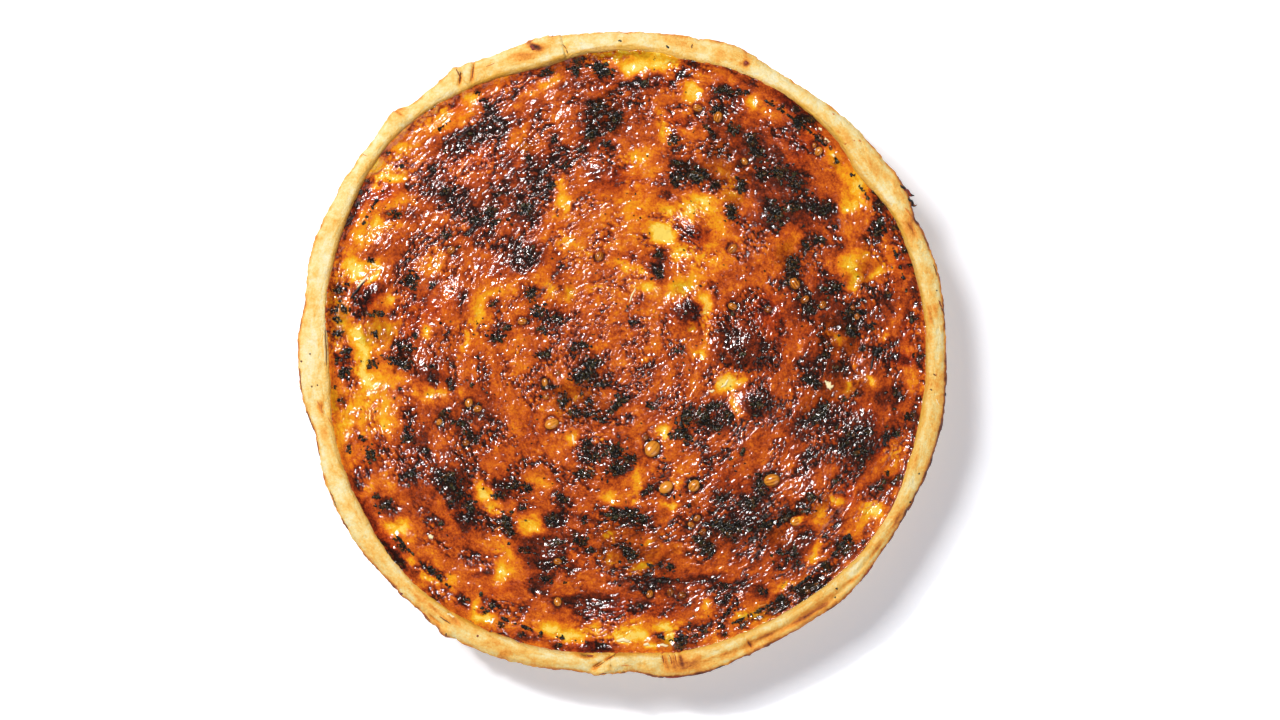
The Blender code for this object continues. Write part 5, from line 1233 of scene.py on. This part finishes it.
index = np.arange(skin_x.size).reshape(skin_x.shape)
border = np.concatenate([index[0, :-1], index[:-1, -1], index[-1, :0:-1], index[:0:-1, 0]])
border_angle = angle.ravel()[border]
rings = [
    side_ring(CUSTARD_RADIUS - 1.4, 28.0, 0.8),
    side_ring(wall_radius(9.0) - PASTRY - GAP, 9.0, 0.0),
    side_ring(BASE_RADIUS - PASTRY - GAP, PASTRY + GAP, 0.0),
]
custard_points = np.concatenate([skin_points.reshape(-1, 3), *rings, [[0.0, 0.0, PASTRY + GAP]]])
ring_index = [border] + [skin_x.size + i * len(border) + np.arange(len(border)) for i in range(len(rings))]
top_quads = np.stack([index[:-1, :-1], index[:-1, 1:], index[1:, 1:], index[1:, :-1]], axis=-1).reshape(-1, 4)
side_quads = [
    np.stack([upper, lower, np.roll(lower, -1), np.roll(upper, -1)], axis=-1)
    for upper, lower in zip(ring_index, ring_index[1:])
]
centre = len(custard_points) - 1
floor_fan = np.stack([ring_index[-1], np.full(len(border), centre), np.roll(ring_index[-1], -1)], axis=-1)
unseen = np.zeros(len(custard_points) - skin_x.size)
custard = filled_mesh(
    "custard",
    custard_points * MM,
    [top_quads, *side_quads, floor_fan],
    {
        "browning_and_shade": np.concatenate([browning_and_shade.ravel(), unseen + 0.2]),
        "herb": np.concatenate([herb.ravel(), unseen]),
        "redness": np.concatenate([redness.ravel(), unseen]),
        "olive": np.concatenate([olive.ravel(), unseen]),
        "knobbly": np.concatenate([knobbly.ravel(), unseen]),
    },
)
flow_layer = custard.data.attributes.new("flow", "FLOAT_VECTOR", "POINT")
flow_and_unseen = np.concatenate([flow.reshape(-1, 3), custard_points[skin_x.size:]])
flow_layer.data.foreach_set("vector", flow_and_unseen.astype(np.float32).ravel())

skin, tree, shader = new_material("baked_custard")
place = millimetres(tree)
along = add(tree, "Attribute", attribute_name="flow").outputs["Vector"]
knobs = attribute(tree, "knobbly")
coarse = speckle(tree, place, 0.34, 5.0, 0.62, 0.9)
streaks = speckle(tree, along, 0.75, 4.0, 0.6, 0.3)
fine = speckle(tree, place, 1.5, 2.0, 0.75, 0.4)


def beads(tree, place, per_mm):
    """Distance to the nearest bead's middle, 0 there and about 0.8 in the gaps between beads."""
    return add(tree, "TexVoronoi", {"Vector": place, "Scale": per_mm}, feature="F1").outputs["Distance"]


def product(tree, first, second):
    """Two values multiplied."""
    return add(tree, "Math", {0: first, 1: second}, operation="MULTIPLY").outputs[0]


bead = beads(tree, along, 0.72)
small_bead = beads(tree, place, 0.90)
# Where the skin is knobbly, the gaps between its beads are painted darker: painted shade in the hollows
# between the beads
gaps = sums(tree, (between(tree, bead, 0.35, 0.8), 0.6), (between(tree, small_bead, 0.35, 0.75), 0.55))
browned_and_shaded = sums(
    tree,
    (coarse, 0.42, True),
    (streaks, 0.50, True),
    (fine, 0.50, True),
    (product(tree, gaps, knobs), 0.40),
    (attribute(tree, "browning_and_shade"), 1.0),
)
SKIN_COLOURS = (
    (0.00, (252, 216, 98)),
    (0.12, (249, 188, 40)),
    (0.24, (244, 162, 24)),
    (0.34, (238, 141, 26)),
    (0.44, (222, 112, 24)),
    (0.54, (198, 87, 24)),
    (0.65, (164, 63, 20)),
    (0.76, (116, 41, 17)),
    (0.88, (72, 28, 16)),
    (1.00, (40, 19, 14)),
)
# The skin's colour: toasted tones, with the painted shade of the bead gaps and the seed collars in them
toasted = colour_scale(tree, browned_and_shaded, SKIN_COLOURS)
RED_FILTER = colour(255, 190, 190)
OLIVE_FILTER = colour(204, 204, 120)
red_share = between(tree, attribute(tree, "redness"), 0.3, 1.1, 0.0, 0.6)
reddened = mixed(tree, red_share, toasted, mixed(tree, 1.0, toasted, RED_FILTER, "MULTIPLY"))
olive_here = sums(tree, (attribute(tree, "olive"), 1.0), (coarse, 0.9, True))
olive_share = between(tree, olive_here, 0.15, 0.7, 0.0, 0.85)
olived = mixed(tree, olive_share, reddened, mixed(tree, 1.0, reddened, OLIVE_FILTER, "MULTIPLY"))
herb_here = sums(
    tree, (attribute(tree, "herb"), 1.0), (fine, 1.5, True), (coarse, 0.5, True), (small_bead, -0.3)
)
herb_mask = between(tree, herb_here, 0.28, 0.44)
HERB_COLOURS = (
    (0.30, (12, 9, 9)),
    (0.44, (26, 18, 13)),
    (0.53, (44, 33, 18)),
    (0.60, (82, 54, 24)),
    (0.72, (146, 74, 26)),
)
herb_colour = colour_scale(tree, streaks, HERB_COLOURS)
tree.links.new(mixed(tree, herb_mask, olived, herb_colour), shader.inputs["Base Color"])
shader.inputs["Roughness"].default_value = 0.25
shader.inputs["IOR"].default_value = 1.2
shader.inputs["Coat Weight"].default_value = 0.8
shader.inputs["Coat Roughness"].default_value = 0.06
# Heights in millimetres: beads are paraboloids, so their tops catch the lamps one by one
BIG_BEAD = -0.42
SMALL_BEAD = -0.12
SWELL = 0.35
HERB_RISE = 0.12
big_tops = product(tree, product(tree, bead, bead), between(tree, knobs, 0.1, 0.8, 0.35, 1.15))
small_tops = product(tree, product(tree, small_bead, small_bead), between(tree, knobs, 0.0, 0.8, 0.7, 1.15))
ridges = sums(
    tree,
    (product(tree, big_tops, between(tree, herb_mask, 0.0, 1.0, 1.0, 0.7)), BIG_BEAD),
    (small_tops, SMALL_BEAD),
    (speckle(tree, along, 0.5, 1.0, 0.4), SWELL),
    (herb_mask, HERB_RISE),
)
skin_bump = add(tree, "Bump", {"Height": ridges, "Strength": 1.0, "Distance": MM})
tree.links.new(skin_bump.outputs["Normal"], shader.inputs["Normal"])
tree.links.new(skin_bump.outputs["Normal"], shader.inputs["Coat Normal"])
custard.data.materials.append(skin)
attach(custard, "root")
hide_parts("custard_filling")


# The shreds on the skin
# Bits of cheese, curds, a stalk and small splits that lie on the baked skin, as slivers in the
# same form and the same colours as the crumbs on the rim. The black threads in the splits are
# painted shade, and one pale thread along a ridge is a painted highlight.
SKIN_SLIVERS = (
    # The black thread from (-92.2, 18.2) is painted shade in a split of the skin
    (-92.2, 18.2, -86.8, 24.8, 0.9, 0), (-90.2, 22.2, -85.6, 27.2, 0.8, 4),
    (68.6, -9.6, 70.6, -11.6, 1.8, 4), (69, -10.8, 71.2, -10.6, 1.1, 4), (68, -9, 69.6, -9.6, 0.9, 4),
    (70.2, -9.2, 70, -12.4, 0.9, 4), (-65.8, -61.2, -64.2, -62.4, 1.6, 4), (66, 76.4, 67.2, 75.4, 1, 4),
    (68.2, 73.2, 70, 71.6, 1.1, 4), (70.4, 67.4, 71.6, 66.6, 1, 4), (-84.8, 30.6, -83.2, 29.6, 0.9, 4),
    (6.8, -98.4, 9.2, -98.6, 1.2, 4), (-2.4, -96.8, 2.6, -97, 1.4, 4), (12, -98, 15.4, -98.6, 1, 4),
    # The pale thread from (2, 17) to (4.4, 22.6) is a painted highlight along a ridge of the skin
    (29, -12.6, 31, -12.2, 1, 4), (2, 17, 4.4, 22.6, 0.6, 4), (25.6, -60.2, 26.6, -60.8, 0.8, 4),
    # The two black threads from (86.6, 2.6) are painted shade in a split of the skin
    (-43.6, -59.6, -40.6, -58.2, 0.5, 3), (86.6, 2.6, 84.4, -1, 1.2, 0), (84.4, -0.8, 83.4, -5.8, 0.8, 0),
    (33, -11.4, 35.6, -8.4, 0.8, 4), (-17.2, -27, -16.6, -30.6, 0.8, 4), (45.4, -85.6, 48.8, -84.4, 0.5, 3),
    (-12, -37.8, -9.8, -39.2, 0.6, 3),
)
SHRED_THICK = 0.6

bpy.context.view_layer.update()
shred_tones = np.array([line[5] for line in SKIN_SLIVERS]) / 4.0
shreds = closed_threads("shreds", slivers(custard, SKIN_SLIVERS, SHRED_THICK), shred_tones)
shreds.data.materials.append(crumb_material)
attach(shreds, "root")
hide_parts("custard_filling")


# The herbs
# Leaves of chopped parsley and the like, stirred into the egg. Those that floated up have
# crinkled and toasted black, and stick out of the skin at all angles.
LEAVES_PER_AREA = 0.95
LEAVES_PER_CROWD = 0.26
LEAF_LENGTH = (0.7, 1.7)
LEAF_THICKNESS = 0.16
LEAF_ACROSS = 2
LEAF_ALONG = 4
LOOSE_LEAVES = 320
LOOSE_WITHIN = 68.0
LOOSE_TIMES = 0.55
LEAVES_WITHIN = 98.0
LEAF_WIDTH = (0.25, 0.45)
LEAF_CURL = (-0.35, 0.45)
LEAF_RIPPLE = (0.08, 0.2)
LEAF_RISE = (0.0, 0.4)


def skin_height_at(x, y):
    """Height of the finished skin at a place, read from the nearest point of the disc's grid."""
    radius = np.hypot(x, y)
    where = np.degrees(np.arctan2(y, x))
    bulge = bulges(where, INNER_BULGES) * np.minimum(radius / skin_radius, 1.0)
    share = np.minimum(radius / (skin_radius + bulge), 1.0)
    turn = np.radians(where)
    east = np.abs(np.cos(turn)) >= np.abs(np.sin(turn))
    across, upwards = np.cos(turn), np.sin(turn)
    lean = np.where(east, np.arctan2(upwards * np.sign(across), np.abs(across)),
                    np.arctan2(across * np.sign(upwards), np.abs(upwards)))
    longer = share * np.where(east, np.sign(across), np.sign(upwards))
    shorter = longer * lean * 4.0 / math.pi
    u, v = np.where(east, longer, shorter), np.where(east, shorter, longer)
    column = np.clip(np.rint((u + 1.0) / 2.0 * CUSTARD_CELLS), 0, CUSTARD_CELLS).astype(int)
    row = np.clip(np.rint((v + 1.0) / 2.0 * CUSTARD_CELLS), 0, CUSTARD_CELLS).astype(int)
    return skin_height[row, column]


def turned_frames(spin, pitch, roll):
    """Rotation matrices for a spin about the vertical after a roll and a pitch, one for each leaf."""
    zero, one = np.zeros_like(spin), np.ones_like(spin)
    cos, sin = np.cos, np.sin
    about_z = (cos(spin), -sin(spin), zero, sin(spin), cos(spin), zero, zero, zero, one)
    about_y = (cos(pitch), zero, sin(pitch), zero, one, zero, -sin(pitch), zero, cos(pitch))
    about_x = (one, zero, zero, zero, cos(roll), -sin(roll), zero, sin(roll), cos(roll))
    first, second, third = (np.stack(turn, -1).reshape(-1, 3, 3) for turn in (about_z, about_y, about_x))
    return first @ second @ third


def crinkled_leaves(length, width, curl, ripple, seed):
    """Closed leaves on one grid: a pointed oval whose top and underside share their border.

    Across, a leaf narrows as the sine of its length. It curls by the square of its length, and
    ripples as two crossed sines with a phase of its own.
    """
    along = np.linspace(0.0, 1.0, LEAF_ALONG + 1)[None, :, None]
    across = np.linspace(-1.0, 1.0, LEAF_ACROSS + 1)[None, None, :]
    draw = np.random.RandomState(seed)
    phase = draw.uniform(0.0, 6.3, (len(length), 3))[:, :, None, None]
    size = length[:, None, None]
    breadth = width[:, None, None] * np.sin(math.pi * (0.06 + 0.88 * along)) ** 0.7
    breadth = breadth * (1.0 + 0.3 * np.sin(9.0 * along + phase[:, 0]))
    x = (along - 0.5) * size + 0.0 * across
    y = across * breadth
    z = curl[:, None, None] * (along - 0.5) ** 2 * 4.0
    z = z + ripple[:, None, None] * np.sin(5.0 * along * 2.0 + 2.5 * across + phase[:, 1])
    z = z + 0.6 * ripple[:, None, None] * np.sin(3.0 * across + 4.0 * along + phase[:, 2])
    thick = LEAF_THICKNESS * (1.0 - 0.8 * across**2) + 0.0 * along
    return np.stack([x + 0.0 * z, y, z + 0.5 * thick], -1), np.stack([x + 0.0 * z, y, z - 0.5 * thick], -1)


def leaf_faces():
    """Quads of one leaf: its top, its underside turned over, and the strip round its border."""
    grid = np.arange((LEAF_ALONG + 1) * (LEAF_ACROSS + 1)).reshape(LEAF_ALONG + 1, LEAF_ACROSS + 1)
    top = np.stack([grid[:-1, :-1], grid[1:, :-1], grid[1:, 1:], grid[:-1, 1:]], -1).reshape(-1, 4)
    below = top[:, ::-1] + grid.size
    edge = np.concatenate([grid[:-1, 0], grid[-1, :-1], grid[:0:-1, -1], grid[0, :0:-1]])
    after = np.roll(edge, -1)
    return np.concatenate([top, below, np.stack([edge, edge + grid.size, after + grid.size, after], -1)])


draw = np.random.RandomState(23)
clusters = [(*oval, LEAVES_PER_AREA) for oval in HERBS]
clusters += [(*oval, share * LEAVES_PER_CROWD) for *oval, share in HERB_MASSES]
clusters.append((0.0, 0.0, LOOSE_WITHIN, LOOSE_WITHIN, 0.0, LOOSE_LEAVES / (math.pi * LOOSE_WITHIN**2)))
counts = [max(1, round(math.pi * a * b * crowding)) for x, y, a, b, turn, crowding in clusters]
middle_x, middle_y, half_length, half_width, slant, _ = np.repeat(np.array(clusters, float), counts, axis=0).T
slant = np.radians(slant)
leaves = len(slant)
scatter = np.clip(draw.normal(0.0, 0.6, (2, leaves)), -1.3, 1.3)
along, across = scatter[0] * half_length, scatter[1] * half_width
leaf_x = middle_x + along * np.cos(slant) - across * np.sin(slant)
leaf_y = middle_y + along * np.sin(slant) + across * np.cos(slant)
pulled_in = np.minimum(1.0, LEAVES_WITHIN / np.hypot(leaf_x, leaf_y))
leaf_x, leaf_y = leaf_x * pulled_in, leaf_y * pulled_in
leaf_spin = slant + draw.normal(0.0, 0.9, leaves)
leaf_length = draw.uniform(*LEAF_LENGTH, leaves)
leaf_length[-LOOSE_LEAVES:] *= LOOSE_TIMES
leaf_width = leaf_length * draw.uniform(*LEAF_WIDTH, leaves)
top, below = crinkled_leaves(
    leaf_length, leaf_width, draw.uniform(*LEAF_CURL, leaves), draw.uniform(*LEAF_RIPPLE, leaves), 29
)
turning = turned_frames(leaf_spin, draw.normal(0.0, 0.3, leaves), draw.normal(0.0, 0.35, leaves))
leaf_points = np.concatenate([top.reshape(leaves, -1, 3), below.reshape(leaves, -1, 3)], axis=1)
leaf_points = leaf_points @ turning.transpose(0, 2, 1)
leaf_rise = draw.uniform(*LEAF_RISE, leaves)
leaf_seat = np.stack([leaf_x, leaf_y, skin_height_at(leaf_x, leaf_y) + leaf_rise], axis=-1)
leaf_points = leaf_points + leaf_seat[:, None, :]
one_leaf = leaf_faces()
per_leaf = leaf_points.shape[1]
all_faces = (one_leaf[None] + (np.arange(leaves) * per_leaf)[:, None, None]).reshape(-1, 4)
greenness = np.repeat(draw.random_sample(leaves), per_leaf)
herbs = filled_mesh("herb_leaves", leaf_points.reshape(-1, 3) * MM, [all_faces], {"leaf_green": greenness})

toasted_leaf, tree, shader = new_material("toasted_herbs")
place = millimetres(tree)
vein = speckle(tree, place, 2.2, 3.0)
leaf_tone = sums(tree, (attribute(tree, "leaf_green"), 1.0), (vein, 0.5, True))
LEAF_COLOURS = (
    (0.00, (12, 10, 11)),
    (0.50, (26, 20, 16)),
    (0.72, (42, 38, 24)),
    (0.88, (60, 60, 30)),
    (1.00, (96, 60, 30)),
)
tree.links.new(colour_scale(tree, leaf_tone, LEAF_COLOURS), shader.inputs["Base Color"])
shader.inputs["Roughness"].default_value = 0.27
shader.inputs["Specular IOR Level"].default_value = 0.4
leaf_bump = add(tree, "Bump", {"Height": vein, "Strength": 0.8, "Distance": 0.25 * MM})
tree.links.new(leaf_bump.outputs["Normal"], shader.inputs["Normal"])
herbs.data.materials.append(toasted_leaf)
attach(herbs, "root")
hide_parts("custard_filling")


# The seeds
# Whole coriander seeds and smaller mustard seeds, amber under their film of oil, each seated in
# a collar where the custard shrank round it.
SEED_ROUND = 20
SEED_DOWN = 14
RIBS = 10.0
RIB_RISE = 0.04
STRIPE = 0.35
DENTS = 0.04
SEED_LONG = 1.1
SEED_WIDE = (0.78, 0.95)
SEED_TALL = 0.62
SEED_SUNK = 0.06

# A ribbed ball that lies on its side, with its axis along x
turn = np.linspace(0.0, 2.0 * math.pi, SEED_ROUND, endpoint=False)[None, :]
fall = np.linspace(0.0, math.pi, SEED_DOWN + 1)[:, None]
girth = np.sin(fall)
ball = np.stack([girth * np.cos(turn), girth * np.sin(turn), np.cos(fall) + 0.0 * turn], axis=-1)
ribs = 1.0 + RIB_RISE * np.cos(RIBS * turn) * girth**2
ball = (ball * ribs[..., None])[..., [2, 1, 0]] * (1.0, 1.0, -1.0)
stripes = STRIPE * (np.cos(RIBS * turn) * girth)[1:-1].ravel()
seed_groups, seed_points, seed_tones, first = [], [], [], 0
draw = np.random.RandomState(31)
for x, y, across in SEEDS:
    tilt = turned_frames(*draw.uniform((0.0, -0.3, -0.3), (3.1, 0.3, 0.3))[:, None])[0]
    squash = np.array([SEED_LONG, draw.uniform(*SEED_WIDE), SEED_TALL])
    dented = ball * (1.0 + DENTS * noise(ball * 2.0 + x, 1.0, 5))[..., None]
    shell = (dented * squash) @ tilt.T * across / 2.0
    height = skin_height_at(np.array([float(x)]), np.array([float(y)]))[0]
    shell = shell + (x, y, height - SEED_SUNK * across)
    grid = np.arange((SEED_DOWN - 1) * SEED_ROUND).reshape(SEED_DOWN - 1, SEED_ROUND) + first
    beside = np.roll(grid, -1, axis=1)
    north, south = first + grid.size, first + grid.size + 1
    seed_groups.append(np.stack([grid[:-1], grid[1:], beside[1:], beside[:-1]], -1).reshape(-1, 4))
    seed_groups.append(np.stack([np.full(SEED_ROUND, north), grid[0], beside[0]], -1))
    seed_groups.append(np.stack([grid[-1], np.full(SEED_ROUND, south), beside[-1]], -1))
    seed_points.append(np.concatenate([shell[1:-1].reshape(-1, 3), shell[:1, 0], shell[-1:, 0]]))
    seed_tones.append(0.5 * draw.random_sample() + 0.2 * (across - 2.0) + np.append(stripes, [0.0, 0.0]))
    first += grid.size + 2
seeds = filled_mesh("whole_seeds", np.concatenate(seed_points) * MM, seed_groups,
                    {"seed_tone": np.concatenate(seed_tones)})

amber, tree, shader = new_material("whole_seeds")
place = millimetres(tree)
husk = speckle(tree, place, 0.9, 4.0)
seed_tone = sums(tree, (attribute(tree, "seed_tone"), 0.7), (husk, 0.7))
SEED_COLOURS = ((0.3, (84, 36, 12)), (0.55, (172, 86, 18)), (0.9, (236, 150, 46)))
tree.links.new(colour_scale(tree, seed_tone, SEED_COLOURS), shader.inputs["Base Color"])
shader.inputs["Roughness"].default_value = 0.22
shader.inputs["Coat Weight"].default_value = 0.5
shader.inputs["Coat Roughness"].default_value = 0.08
husk_bump = add(tree, "Bump", {"Height": husk, "Strength": 0.5, "Distance": 0.3 * MM})
tree.links.new(husk_bump.outputs["Normal"], shader.inputs["Normal"])
seeds.data.materials.append(amber)
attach(seeds, "root")
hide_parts("custard_filling")
